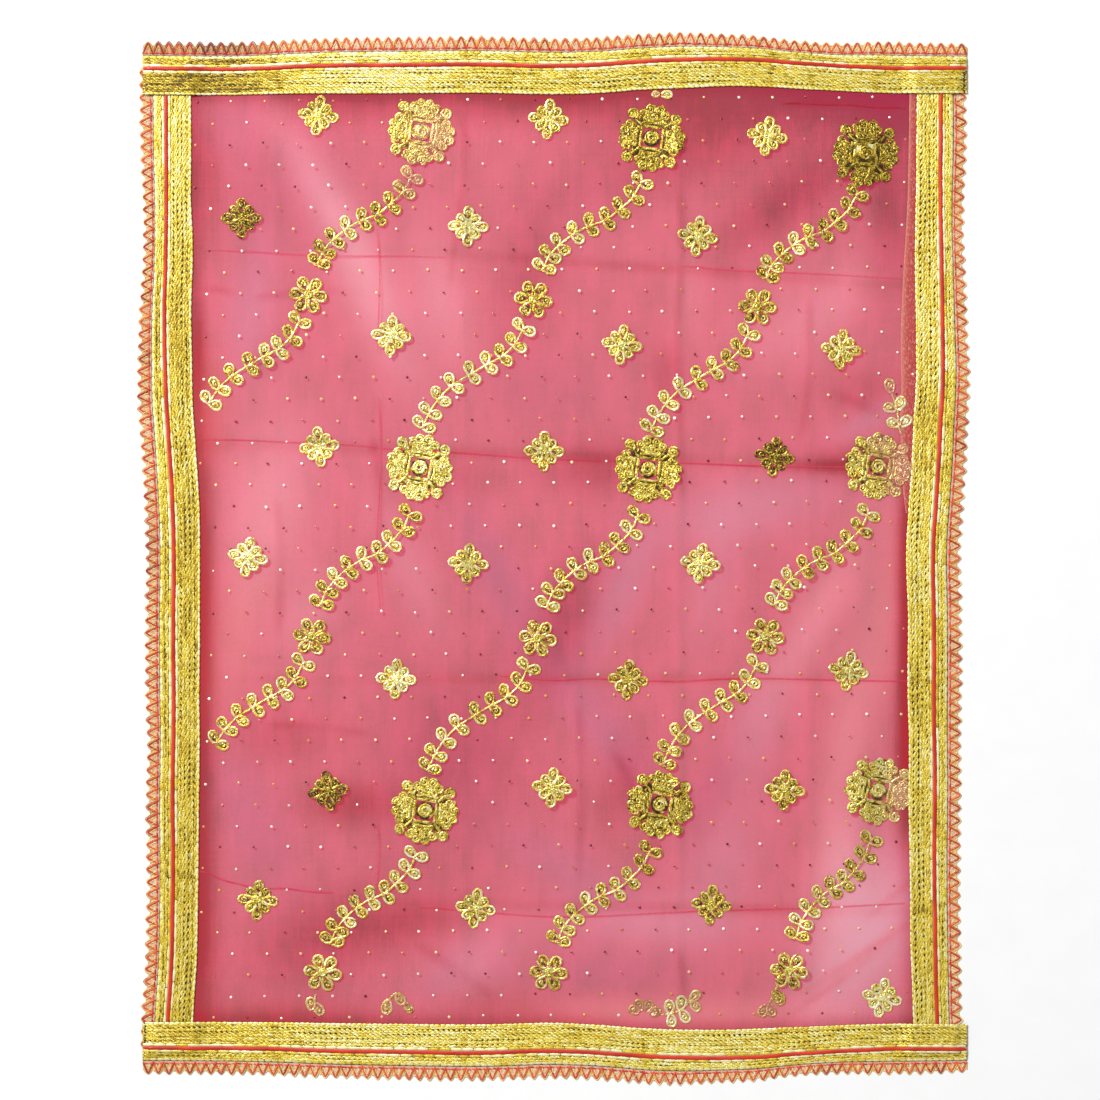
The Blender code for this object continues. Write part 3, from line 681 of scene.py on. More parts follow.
# Colours of the rose from pale to deep. Columns: depth, red, green, blue
ROSES = (
    (0.25, 0.94, 0.062, 0.18), (0.62, 0.76, 0.03, 0.105), (0.82, 0.6, 0.016, 0.062),
    (1, 0.39, 0.006, 0.028),
)
MAUVE = (0.50, 0.060, 0.240)
WARM_ROSE = (0.78, 0.030, 0.026)
MAUVE_SHARE = 0.55
WARM_SHARE = 0.6
PATCH_SHARE = 0.5
STREAK_SHARE = 0.30
CROSS_STREAK_SHARE = 0.16
CLOUD_SHARE = 0.50
DEPTH_START = 0.18
COVER_START = 0.50
COVER_OF_THREADS = 0.22
COVER_OF_DEPTH = 0.24

net_finish, net_shader = start_material("rose_net", roughness=0.55, sheen=0.1)
net_shader.inputs["Specular IOR Level"].default_value = 0.25
net_shader.inputs["Sheen Roughness"].default_value = 0.4
deeper = add_attribute(net_finish, "deeper")
cooler = add_attribute(net_finish, "cooler")
streaks = add_noise(net_finish, 1.6, stretch=(1.0, 45.0, 1.0))
cross_streaks = add_noise(net_finish, 2.0, stretch=(30.0, 1.0, 1.0))
clouds = add_noise(net_finish, 26.0, stretch=(1.0, 2.0, 1.0), detail=4.0)
grain = add_scaled(net_finish, streaks, STREAK_SHARE)
grain = add_math(net_finish, "ADD", grain, add_scaled(net_finish, cross_streaks, CROSS_STREAK_SHARE))
grain = add_math(net_finish, "ADD", grain, add_scaled(net_finish, clouds, CLOUD_SHARE))
depth = add_math(net_finish, "ADD", add_scaled(net_finish, deeper, PATCH_SHARE), grain)
rose = add_ramp(net_finish, add_math(net_finish, "ADD", depth, DEPTH_START), ROSES)
cool_part = add_math(net_finish, "MAXIMUM", cooler, 0.0)
warm_part = add_math(net_finish, "MAXIMUM", add_scaled(net_finish, cooler, -1.0), 0.0)
rose = add_mix(net_finish, add_scaled(net_finish, cool_part, MAUVE_SHARE), rose, MAUVE)
rose = add_mix(net_finish, add_scaled(net_finish, warm_part, WARM_SHARE), rose, WARM_ROSE)
weave = add_weave(net_finish, NET_THREAD_PITCH)
cover = add_scaled(net_finish, weave, COVER_OF_THREADS, COVER_START)
cover = add_math(net_finish, "ADD", cover, add_scaled(net_finish, deeper, COVER_OF_DEPTH))
paint(net_finish, net_shader, rose, add_math(net_finish, "ADD", weave, streaks), 0.08, cover)

# %% The net's sheet
NET_COLUMNS = 240
NET_ROWS = 300


def net_plan(rows, columns, across):
    """Plan points of a grid that is fitted between the net's four edges."""
    up, over = np.meshgrid(np.linspace(0.0, 1.0, rows), np.linspace(0.0, 1.0, columns), indexing="ij")
    x, y = 0.0, 0.0
    for _ in range(3):
        left, right, bottom, top = net_edges(x, y, across)
        x = left + over * (right - left)
        y = bottom + up * (top - bottom)
    return x, y


net_x, net_y = net_plan(NET_ROWS, NET_COLUMNS, NET_EDGE_ACROSS)
net_points = as_points(net_x, net_y, net_height(net_x, net_y))
net_deeper, net_cooler = net_tint_and_shade(net_x, net_y)
net_faces = grid_faces(NET_ROWS, NET_COLUMNS)
net_values = {"deeper": net_deeper, "cooler": net_cooler}
net = make_piece("rose_net", net_points, net_faces, net_finish, net_values)
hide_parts("net_panel")

# %% [markdown]
# ## The turned-in selvedge
# Down the right side the net's own edge is turned in, so the cloth is double there. It could be part of
# the net's grid, folded back on itself, but a separate strip just above it is easier to shape and to
# tint. The double cloth is browner, and the woven edge shows as a paler line.

# %% The selvedge
# Columns: place up the side, width from the lace's inner edge
SELVEDGE_TURN = (
    (52, 2.5), (66, 5.5), (133, 13.5), (177, 16), (255, 17.5), (288, 15.5), (354, 11.5), (440, 10),
    (508, 9.5),
)
SELVEDGE_ROWS = 190
SELVEDGE_COLUMNS = 9

# Colours of the double cloth. Columns: share of the way from its fold to the lace, red, green, blue
TURN_ROSES = (
    (0, 0.72, 0.25, 0.17), (0.22, 0.66, 0.12, 0.1), (0.45, 0.6, 0.07, 0.066), (1, 0.56, 0.04, 0.048),
)
TURN_SPECK = (0.88, 0.50, 0.32)

turn_finish, turn_shader = start_material("turned_selvedge", roughness=0.5, sheen=0.1)
turn_grain = add_noise(turn_finish, 1.6, stretch=(1.0, 2.4, 1.0), detail=3.0)
turn_colour = add_ramp(turn_finish, add_attribute(turn_finish, "part"), TURN_ROSES)
turn_specks = add_ramp(turn_finish, turn_grain, ((0.5, 0.0, 0.0, 0.0), (0.68, 1.0, 1.0, 1.0)))
turn_share = add_scaled(turn_finish, turn_specks, 0.55)
turn_colour = add_mix(turn_finish, turn_share, turn_colour, TURN_SPECK)
turn_cover = add_scaled(turn_finish, add_weave(turn_finish, NET_THREAD_PITCH), 0.2, 0.6)
paint(turn_finish, turn_shader, turn_colour, turn_grain, 0.2, turn_cover)

turn_top = float(edge_distance("top", edge_distance("right", 508.0, 0.0), -SEAM_GAP))
turn_up, turn_over = np.meshgrid(
    np.linspace(SELVEDGE_TURN[0][0], turn_top, SELVEDGE_ROWS),
    np.linspace(0.0, 1.0, SELVEDGE_COLUMNS),
    indexing="ij",
)
turn_width = smooth_through(SELVEDGE_TURN, turn_up)
turn_across = -turn_width + turn_over * (turn_width - SEAM_GAP)
turn_x, turn_y = place_on_side("right", turn_up, turn_across)
turn_z = NET_WALL + SEAM_GAP + 0.5 - 0.5 * (1.0 - turn_over) ** 6
turn_z = turn_z + 0.12 * np.sin(turn_up / 9.0 + 4.0 * turn_over)
turn_points = as_points(turn_x, turn_y, turn_z)
turn_faces = grid_faces(SELVEDGE_ROWS, SELVEDGE_COLUMNS)
turn_values = {"part": turn_over}
turn = make_piece("selvedge_turned_in", turn_points, turn_faces, turn_finish, turn_values)
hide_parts("selvedge_turn")

# %% [markdown]
# ## The lace's ground
# The lace is knitted from flat metallic yarn. Between its rows of plump stitches there are small dark
# holes, in which the ground of the tape is seen. The ground's near-black olive is partly the tape's own
# gold and partly painted shade for the holes. The ground is a thin closed ring, swept along the side
# like an extruded profile. A curve with a bevel profile could sweep it, but the ring also has to climb at
# the corners and narrow on the sides, which the arrays do directly.

# %% The ground's finish
# Partly the tape's own olive gold, partly painted shade: near black, as the ground shows only in the holes
GROUND_SHADED_GOLDS = ((0.3, 0.022, 0.012, 0.002), (0.55, 0.07, 0.04, 0.006), (0.75, 0.2, 0.13, 0.016))
GROOVE_PINK = (0.74, 0.34, 0.20)

ground_finish, ground_shader = start_material("lace_ground", roughness=0.45, metallic=0.4)
ground_tone = add_noise(ground_finish, 3.0, detail=3.0)
ground_colour = add_ramp(ground_finish, ground_tone, GROUND_SHADED_GOLDS)
ground_colour = add_mix(ground_finish, add_attribute(ground_finish, "groove"), ground_colour, GROOVE_PINK)
paint(ground_finish, ground_shader, ground_colour, ground_tone, 0.3)

# %% Sweep the ground
STATION_STEP = 6.0
GROUND_OVER = (0.0, 0.8, 2.0, 8.0, 15.0, 22.0, 27.6, 28.8, 31.1, 33.4, 34.6, 38.0, 42.5, 44.4, TAPE_WIDTH)
GROOVE_HALF = 2.6
GROUND_UNDER = (
    (TAPE_WIDTH, 0.1),
    (44.4, 0.1),
    (44.0, TAPE_BASE),
    (34.0, TAPE_BASE),
    (20.0, TAPE_BASE),
    (0.0, TAPE_BASE),
)


def sweep_ground(side):
    """One length's ground, closed at both ends: points, faces and where the cord's groove is."""
    first, last = strip_span(side)
    stations = np.linspace(first, last, round((last - first) / STATION_STEP))
    along, across = np.meshgrid(stations, np.array(GROUND_OVER), indexing="ij")
    over_x, over_y = place_on_side(side, along, across)
    over = np.stack([over_x, over_y, ground_height(side, along, across)], axis=-1)
    groove = np.abs(across - CORD_ACROSS) < GROOVE_HALF
    places, heights = np.transpose(GROUND_UNDER)
    along, across = np.meshgrid(stations, places, indexing="ij")
    under_x, under_y = place_on_side(side, along, across)
    under_z = heights + climb(side, along, across)
    under = np.stack([under_x, under_y, under_z + 0.0 * under_x], axis=-1)
    rings = np.concatenate([over, under], axis=1)
    count, size = rings.shape[:2]
    points = rings.reshape(-1, 3)
    faces = grid_faces(count, size, ring=True).tolist()
    faces.append(list(range(size)))
    faces.append([len(points) - 1 - point for point in range(size)])
    return points, faces, np.concatenate([groove, np.zeros(under_x.shape)], axis=1)


# %% [markdown]
# ## The knitted stitches
# The lace is warp-knitted: its flat yarns run along it in fine rows, and each is caught down at every
# stitch. Between some of the rows the yarns part round a line of small dark holes. A bump map could draw
# this, but the yarns stand proud, catch the light one by one and leave real holes. So one small form is
# shaped from a grid, 4 points long and 5 across, and copied along each row with its own slant, size and
# shine. The holes are then opened by pushing the points aside. The lace is one length, turned at each
# corner, so its slant changes hands from side to side.

# %% One stitch and its rows
STITCH_LONG = np.linspace(0.0, 1.0, 4)
STITCH_NARROWS = np.array([0.75, 0.08, 0.08, 0.75])
STITCH_SIDE = np.array([-1.0, -0.6, 0.0, 0.6, 1.0])
STITCH_RISE = np.array([0.62, 0.95, 1.0, 0.95, 0.62])
STITCH_REACH = 1.06
STITCH_LEAN = 0.55
STITCH_SINK = 0.1
YARN_RISE = 0.62
YARN_OPENING = 0.6
BROAD_RISE = 0.8
BROAD_OPENING = 0.5
HOLE_STEP = 30.0
TONE_SPREAD = 0.11
TONE_DRIFT = 0.18
TONE_DRIFT_RUN = 24.0
ROW_WANDER = 0.4
ROW_WANDER_RUN = 9.0
YARN_HALF = 1.0
HAND = {"top": -1.0, "left": -1.0, "bottom": 1.0, "right": 1.0}
STITCH_PITCH = {"top": 5.75, "bottom": 5.75, "left": 6.9, "right": 6.9}

# Rows of yarn along the lace. Columns: middle across, tone added to the lace's own
YARN_ROWS = (
    (3.4, 0.02), (5.2, -0.04), (7, -0.04), (8.9, 0.08), (10.8, -0.04), (12.6, -0.04), (14.5, 0.08),
    (16.4, -0.04), (18.1, -0.04), (19.75, 0.08), (21.4, -0.04), (23, -0.04), (24.7, 0.02), (37.7, 0.02),
    (39.3, -0.04), (40.9, -0.04), (42.4, 0.04),
)

# Rows of broader stitches, whose shining and dull stretches are painted highlight and shade. Columns:
# middle across, half width, length and start in pitches, tone where they shine, tone where they are dull
BROAD_ROWS = (
    (1.25, 1.45, 1, 0.3, 0.96, 0.78), (27.3, 1.6, 2.2, 0, 1.04, 0.62), (34.9, 1.6, 2.2, 0.6, 1.04, 0.62),
    (44.4, 1.45, 1.3, 0.1, 0.98, 0.72),
)

# Lines of holes, as places across
HOLE_LINES = (6.1, 11.7, 17.3, 22.2, 40.1)
HOLE_HALF = 1.5
HOLE_REACH = 1.7
HOLE_SHIFT = 0.2
HOLE_LEAN = 0.8

# Painted reflection and shade: how bright the gold shows along each side. Columns: place along the side,
# brightness
PAINTED_SHINE = {
    "top": (
        (-456, 0.45), (-330, 0.49), (-310, 0.62), (-101, 0.78), (-60, 0.7), (20, 0.74), (100, 0.72),
        (140, 0.77), (240, 0.71), (283, 0.75), (360, 0.73), (457, 0.65),
    ),
    "bottom": (
        (-456, 0.61), (-330, 0.65), (-300, 0.71), (-101, 0.77), (24, 0.73), (101, 0.79), (245, 0.77),
        (300, 0.71), (457, 0.69),
    ),
    "left": (
        (-540, 0.63), (-363, 0.68), (-240, 0.62), (-111, 0.66), (20, 0.58), (132, 0.72), (230, 0.56),
        (290, 0.6), (351, 0.72), (500, 0.74),
    ),
    "right": (
        (-540, 0.74), (-382, 0.68), (-250, 0.73), (-133, 0.66), (0, 0.74), (102, 0.66), (160, 0.6),
        (230, 0.76), (343, 0.7), (500, 0.72),
    ),
}

# Painted shade of the packing creases that cross the lace. Columns: place along the side, lean, how much
# duller
LACE_CREASES = {
    "top": (
        (-309, -0.25, 0.34), (-101, 0.1, 0.22), (24, 0, 0.18), (101, 0.1, 0.24), (141, -0.1, 0.18),
        (242, 0.1, 0.3), (281, -0.2, 0.22), (359, 0.1, 0.22),
    ),
    "bottom": ((-309, 0.1, 0.28), (-100, 0, 0.22), (101, 0.1, 0.26), (245, -0.1, 0.26), (282, 0.1, 0.2)),
    "left": ((351, 0.1, 0.26), (126, 0, 0.22), (-118, 0, 0.18), (-347, 0.15, 0.32)),
    "right": ((343, 0.1, 0.26), (104, 0, 0.2), (-134, 0, 0.18), (-384, 0.2, 0.28)),
}
LACE_CREASE_HALF = 2.4


def lace_crease_shade(side, along, across):
    """Painted shade: how much duller the creases across the lace make its gold."""
    duller = 0.0 * along
    for place, lean, depth in LACE_CREASES[side]:
        off = along - place - lean * (across - CORD_ACROSS)
        duller = duller + depth * np.exp(-((off / LACE_CREASE_HALF) ** 2))
    return duller


def open_holes(side, s, a, middle, tables):
    """Push a row's points away from the lines of holes. The tables say how open each line is."""
    for number, (line, table) in enumerate(zip(HOLE_LINES, tables)):
        away = math.copysign(1.0, middle - line)
        off = np.maximum((a - line) * away, 0.0)
        turns = (s - strip_span(side)[0]) / STITCH_PITCH[side] - HOLE_SHIFT * HAND[side] * number
        swing = np.maximum(np.cos(2.0 * math.pi * turns - HAND[side] * HOLE_LEAN * (a - line)), 0.0)
        a = a + away * HOLE_HALF * smooth_through(table, s) * swing * np.exp(-((off / HOLE_REACH) ** 2))
    return a


def stitches(side, along, across, slant, width, half, rise, opening, tone, tables=()):
    """Copies of one stitch, one for each place along. The other measures are arrays too, or one number."""
    along, across, slant, width, half, opening, tone = (
        np.broadcast_to(measure, len(along))[:, None, None]
        for measure in (along, across, slant, width, half, opening, tone)
    )
    long = STITCH_LONG[:, None]
    narrows = STITCH_NARROWS[:, None]
    beside = STITCH_SIDE * (1.0 - narrows * opening) * half
    run = np.hypot(slant, width)
    s = np.clip(along + slant * long - beside * (width / run), *strip_span(side))
    a = across + width * long + beside * (slant / run)
    a = open_holes(side, s, a, float(np.mean(across + 0.5 * width)), tables)
    x, y = place_on_side(side, s, a)
    proud = rise * STITCH_RISE * (1.0 - 0.6 * narrows)
    points = as_points(x, y, ground_height(side, s, a) - STITCH_SINK + proud)
    each = len(STITCH_LONG) * len(STITCH_SIDE)
    faces = repeat_faces(grid_faces(len(STITCH_LONG), len(STITCH_SIDE)), each, len(along))
    # Painted shade: each stitch is darker at its pinched ends, where it meets the next
    tones = tone + rng.uniform(-0.10, 0.10, x.shape) - 0.15 * narrows
    return points, faces, tones.ravel()


def row_places(side, step, start):
    """Places of a row's stitches along a side, each a little out of line."""
    first, last = strip_span(side)
    places = np.arange(first + (start % 1.0 - 1.0) * step, last - 0.2 * step, step)
    return places + rng.uniform(-0.3, 0.3, len(places))


def slow_noise(places, run):
    """A smooth wander from 0 to 1 whose swings are about run millimetres long."""
    knots = np.arange(places.min() - run, places.max() + 2.0 * run, run)
    return smooth_through(np.stack([knots, rng.uniform(0.0, 1.0, len(knots))], axis=1), places)


def lace_stitches(side):
    """All the gold stitches of one length of lace."""
    pitch = STITCH_PITCH[side]
    ends = np.array(strip_span(side))
    tables = []
    for _ in HOLE_LINES:
        knots = np.arange(ends[0] - HOLE_STEP, ends[1] + 2.0 * HOLE_STEP, HOLE_STEP)
        tables.append(np.stack([knots, np.clip(rng.uniform(-0.25, 1.25, len(knots)), 0.0, 1.0)], axis=1))
    parts = []
    for number, (middle, step) in enumerate(YARN_ROWS):
        along = row_places(side, pitch, 0.5 * number + rng.uniform(-0.12, 0.12))
        count = len(along)
        slants = STITCH_REACH * pitch * rng.uniform(0.95, 1.05, count)
        widths = HAND[side] * STITCH_LEAN * rng.uniform(0.6, 1.4, count)
        across = middle - 0.5 * widths + ROW_WANDER * (slow_noise(along, ROW_WANDER_RUN) - 0.5)
        half = YARN_HALF * rng.uniform(0.9, 1.08, count)
        drift = TONE_DRIFT * (slow_noise(along, TONE_DRIFT_RUN) - 0.5)
        # Painted reflection from the side's shine table, less the painted shade of the creases
        tone = smooth_through(PAINTED_SHINE[side], along) + step + drift
        tone = tone + rng.normal(0.0, TONE_SPREAD, count) - lace_crease_shade(side, along + 0.5 * pitch, middle)
        shape = (slants, widths, half, YARN_RISE, YARN_OPENING)
        parts.append(stitches(side, along, across, *shape, tone, tables))
    for middle, half, length, start, shining, dull in BROAD_ROWS:
        along = row_places(side, length * pitch, start)
        count = len(along)
        slants = length * pitch * rng.uniform(0.95, 1.03, count)
        widths = rng.uniform(-0.3, 0.3, count)
        # Painted highlight: each broad row shines and dulls in slow runs along it
        shine = smooth_step(2.6 * slow_noise(along, 2.2 * length * pitch) - 0.5)
        tone = dull + (shining - dull) * shine + rng.normal(0.0, 0.05, count)
        tone = tone - 0.6 * lace_crease_shade(side, along + 0.5 * length * pitch, middle)
        parts.append(stitches(side, along, middle, slants, widths, half, BROAD_RISE, BROAD_OPENING, tone))
    return join_parts(parts)


# %% [markdown]
# ## Metallic yarn
# The yarn is a plastic film with a thin metal coat, wound round a thread. It mirrors the room in small
# broken patches, from lemon to olive. A plain gold would look like brass. The ramp below turns each
# stitch's own tone into a colour, and a fine noise and a bump break up its shine. These patches are
# painted reflection: the ramp runs from a dark olive up to a near-white painted highlight, and the noise
# adds painted glints.

# %% The gold yarn's finish
GOLD_REFLECTION_STOPS = (
    (0, 0.05, 0.028, 0.003), (0.2, 0.2, 0.125, 0.01), (0.42, 0.58, 0.38, 0.022),
    (0.64, 0.86, 0.64, 0.05), (0.82, 0.97, 0.82, 0.165), (1, 1, 0.95, 0.56),
)


def gold_finish(name, metallic, speck_size, speck_share, bump, stops=GOLD_REFLECTION_STOPS):
    """A gold whose tone comes from the mesh, broken up by specks of a size in millimetres."""
    made, shader = start_material(name, roughness=0.34, metallic=metallic)
    tone = add_attribute(made, "tone")
    specks = add_noise(made, speck_size, detail=3.0)
    spread = add_math(made, "MULTIPLY", add_math(made, "SUBTRACT", specks, 0.5), speck_share)
    paint(made, shader, add_ramp(made, add_math(made, "ADD", tone, spread), stops), specks, bump)
    return made, shader


yarn_finish, _ = gold_finish("gold_yarn", 0.35, 1.2, 1.2, 0.4)

# %% [markdown]
# ## The red cord
# A smooth red filler cord lies in a groove of the lace. A curve object with a round bevel would do, but
# it must follow the same line as the tape and climb with it, so it is a swept ring too. It wanders a
# little from side to side, as a cord held by a few stitches does.

# %% The cord's finish and shape
CORD_HALF_WIDTH = 1.75
CORD_HALF_HEIGHT = 0.85
CORD_SIDES = 12
CORD_STEP = 3.0
THREAD_END = 0.05
CORD_REDS = ((0.35, 0.52, 0.006, 0.004), (0.65, 0.74, 0.03, 0.01))
CORD_SHEEN_RED = (0.86, 0.13, 0.05)

cord_finish, cord_shader = start_material("red_cord", roughness=0.38, sheen=0.05)
cord_twist = add_noise(cord_finish, 2.4, detail=2.0)
cord_drift = add_noise(cord_finish, 30.0, detail=1.0)
cord_colour = add_ramp(cord_finish, cord_drift, CORD_REDS)
# Painted sheen: a brighter red mixed in by the twist noise
cord_colour = add_mix(cord_finish, add_scaled(cord_finish, cord_twist, 0.14), cord_colour, CORD_SHEEN_RED)
paint(cord_finish, cord_shader, cord_colour, cord_twist, 0.25)


def threads(paths, half_width, half_height, sides):
    """Round threads along paths that lie nearly flat. Paths: threads by points by 3."""
    ahead = np.gradient(paths, axis=1)
    beside = np.stack([-ahead[..., 1], ahead[..., 0], 0.0 * ahead[..., 0]], axis=-1)
    beside = beside / np.linalg.norm(beside, axis=-1, keepdims=True)
    angle = np.linspace(0.0, 2.0 * math.pi, sides, endpoint=False)
    swell = np.ones(paths.shape[1])
    swell[[0, -1]] = THREAD_END
    wide = half_width * np.cos(angle)[None, None, :, None] * swell[None, :, None, None]
    high = half_height * np.sin(angle)[None, None, :, None] * swell[None, :, None, None]
    ring = paths[:, :, None, :] + wide * beside[:, :, None, :] + high * np.array([0.0, 0.0, 1.0])
    each = paths.shape[1] * sides
    faces = repeat_faces(grid_faces(paths.shape[1], sides, ring=True), each, paths.shape[0])
    return ring.reshape(-1, 3), faces


def cord_points(side):
    """The cord's ring of points, along one side."""
    first, last = strip_span(side)
    along = np.linspace(first, last, round((last - first) / CORD_STEP))
    across = CORD_ACROSS + 0.25 * np.sin(along / 23.0) + 0.18 * np.sin(along / 9.1 + 1.0)
    x, y = place_on_side(side, along, across)
    z = TAPE_BASE + GROUND_THICK + SEAM_GAP + CORD_HALF_HEIGHT + climb(side, along, across)
    return threads(np.stack([x, y, z], axis=-1)[None], CORD_HALF_WIDTH, CORD_HALF_HEIGHT, CORD_SIDES)


# %% [markdown]
# ## The toothed edging
# Outside the tape a red thread runs in a zigzag over a strip of pale net, and fine gold loops arch round
# its points. Flat triangles would look like paper teeth. Here each tooth is a real thread with a rounded
# point, and its legs cross those of its neighbours at the foot, one over and one under.

# %% Sizes of the edging
PICOT_PITCH = {"top": 11.5, "bottom": 11.5, "left": 13.8, "right": 13.8}
PICOT_NOTCH = 56.6
PICOT_FOOT = 46.6
PICOT_POINT = 60.3
THREAD_HALF = 0.85
LOOP_HALF = 0.36
TOOTH_COLUMNS = 8
TOOTH_BEND = 0.14
CHAIN_ACROSS = 48.6
CHAIN_HALF = 0.95
CHAIN_RISE = 0.55
CHAIN_LIFT = 0.25
EDGING_ROWS = (0.0, 0.35, 0.7, 1.0)

# Painted shade: the edging follows the lace's painted shine, its threads from a middle tone, its net where
# the lace is dull
MIDDLE_SHINE = 0.7
DULL_BELOW = 0.66


def tooth_middles(side):
    """Places along a side of its teeth, and the pitch that fits them in."""
    first, last = strip_span(side)
    count = round((last - first) / PICOT_PITCH[side])
    pitch = (last - first) / count
    return first + pitch * (np.arange(count) + 0.5), pitch


def tooth_paths(side, over, across, height):
    """Paths over each tooth. Over, across and height are arrays along one path, over in pitches."""
    middles, pitch = tooth_middles(side)
    jitter = rng.uniform(-0.45, 0.45, (len(middles), 1))
    reach = rng.uniform(-0.9, 0.5, (len(middles), 1))
    part = (across - across.min()) / (across.max() - across.min() + 1e-9)
    s = np.clip(middles[:, None] + pitch * over[None, :] + jitter, *strip_span(side))
    a = across[None, :] + reach * part[None, :]
    x, y = place_on_side(side, s, a)
    return np.stack([x, y, height[None, :] + 0.0 * x], axis=-1)


def edging_net(side):
    """The pale net of the edging, with a rounded tooth for each turn of the thread, and its painted shade.
    """
    middles, pitch = tooth_middles(side)
    first, last = strip_span(side)
    along = np.linspace(first, last, len(middles) * TOOTH_COLUMNS + 1)
    tooth = np.abs(np.sin(math.pi * (along - first) / pitch)) ** 1.1
    outer = PICOT_NOTCH + (LACE_WIDTH - 0.4 - PICOT_NOTCH) * tooth
    inner = TAPE_WIDTH + SEAM_GAP
    rows = np.array(EDGING_ROWS)[:, None]
    across = inner + rows * (outer - inner)[None, :]
    x, y = place_on_side(side, along[None, :], across)
    z = 0.5 + 0.12 * np.sin(along / 5.3)[None, :] + 0.0 * x
    duller = DULL_BELOW - smooth_through(PAINTED_SHINE[side], along)
    shade = np.clip(2.5 * duller, 0.0, 1.0)[None, :] + 0.0 * x
    return as_points(x, y, z), grid_faces(len(rows), len(along)), shade


def toned_threads(side, paths, half_width, half_height, sides, low, high):
    """Threads along paths. Each has a tone of its own, and painted shade that follows the lace's shine."""
    points, faces = threads(paths, half_width, half_height, sides)
    shade = smooth_through(PAINTED_SHINE[side], tooth_middles(side)[0]) - MIDDLE_SHINE
    tone = rng.uniform(low, high, len(paths)) + shade
    return points, faces, np.repeat(tone, len(points) // len(paths))


def red_threads(side):
    """The zigzag thread and the chain at its foot."""
    part = np.linspace(-1.0, 1.0, 13)
    bend = TOOTH_BEND
    sharp = (np.sqrt(part**2 + bend**2) - bend) / (math.sqrt(1.0 + bend**2) - bend)
    sharp = 1.16 * sharp - 0.16 * sharp**3
    across = PICOT_POINT + (PICOT_FOOT - PICOT_POINT) * sharp
    legs = tooth_paths(side, 0.58 * part, across, 1.0 + 0.5 * part)
    zigzag = toned_threads(side, legs, THREAD_HALF, 0.5, 6, 0.2, 0.9)
    half_pitch = tooth_middles(side)[1] / 2.0
    along = row_places(side, half_pitch, 0.1)
    count = len(along)
    slants = half_pitch * rng.uniform(0.85, 1.0, count)
    across = CHAIN_ACROSS + rng.uniform(-0.3, 0.3, count)
    widths = rng.uniform(0.2, 0.9, count)
    tone = rng.uniform(0.2, 1.0, count)
    chain = stitches(side, along, across, slants, widths, CHAIN_HALF, CHAIN_RISE, 1.0, tone)
    chain[0][:, 2] += CHAIN_LIFT
    return join_parts([zigzag, chain])


def gold_loops(side):
    """Fine loops: one round each tooth, one between each two, and a pale one inside each."""
    turn = np.linspace(0.0, math.pi, 13)
    arch = 1.0 - np.abs(np.cos(turn)) ** 1.8
    level = 0.1 * np.cos(turn)
    outer = tooth_paths(side, 0.56 * np.cos(turn), 48.0 + 14.0 * arch, 0.75 + level)
    between = tooth_paths(side, 0.5 + 0.34 * np.cos(turn), 50.0 + 7.6 * arch, 0.85 + level)
    inner = tooth_paths(side, 0.20 * np.cos(turn), 49.0 + 6.5 * np.sin(turn), 0.9 + level)
    rows = ((outer, 0.35, 0.85), (between, 0.5, 1.0), (inner, 0.75, 1.0))
    return join_parts([toned_threads(side, row[0], LOOP_HALF, LOOP_HALF, 5, *row[1:]) for row in rows])


# %% Finishes of the edging
EDGING_CREAMS = ((0.3, 0.78, 0.22, 0.16), (0.5, 0.86, 0.5, 0.3), (0.7, 0.93, 0.82, 0.48))
EDGING_SHADE_RED = (0.42, 0.085, 0.045)
THREAD_REDS = ((0.2, 0.22, 0.006, 0.004), (0.6, 0.6, 0.018, 0.009), (1, 0.84, 0.095, 0.038))

edging_finish, edging_shader = start_material("edging_net", roughness=0.6)
edging_tone = add_noise(edging_finish, 2.2, detail=3.0)
edging_colour = add_ramp(edging_finish, edging_tone, EDGING_CREAMS)
# Painted shade: the edging net turns a dark red where the lace is dull
edging_shade = add_scaled(edging_finish, add_attribute(edging_finish, "shade"), 0.8)
edging_colour = add_mix(edging_finish, edging_shade, edging_colour, EDGING_SHADE_RED)
edging_cover = add_scaled(edging_finish, add_weave(edging_finish, 1.1), 0.35, 0.45)
paint(edging_finish, edging_shader, edging_colour, edging_tone, 0.2, edging_cover)

red_finish, red_shader = start_material("red_thread", roughness=0.45, sheen=0.1)
red_drift = add_scaled(red_finish, add_noise(red_finish, 1.8), 0.5)
red_tone = add_math(red_finish, "ADD", add_attribute(red_finish, "tone"), red_drift)
red_colour = add_ramp(red_finish, red_tone, THREAD_REDS)
paint(red_finish, red_shader, red_colour, add_noise(red_finish, 0.9), 0.2)

loop_finish, _ = gold_finish("loop_yarn", 0.2, 1.6, 0.4, 0.15)

# %% [markdown]
# ## Sew the border together
# Now each side gets its pieces: ground, stitches, cord, edging net, red thread and loops.

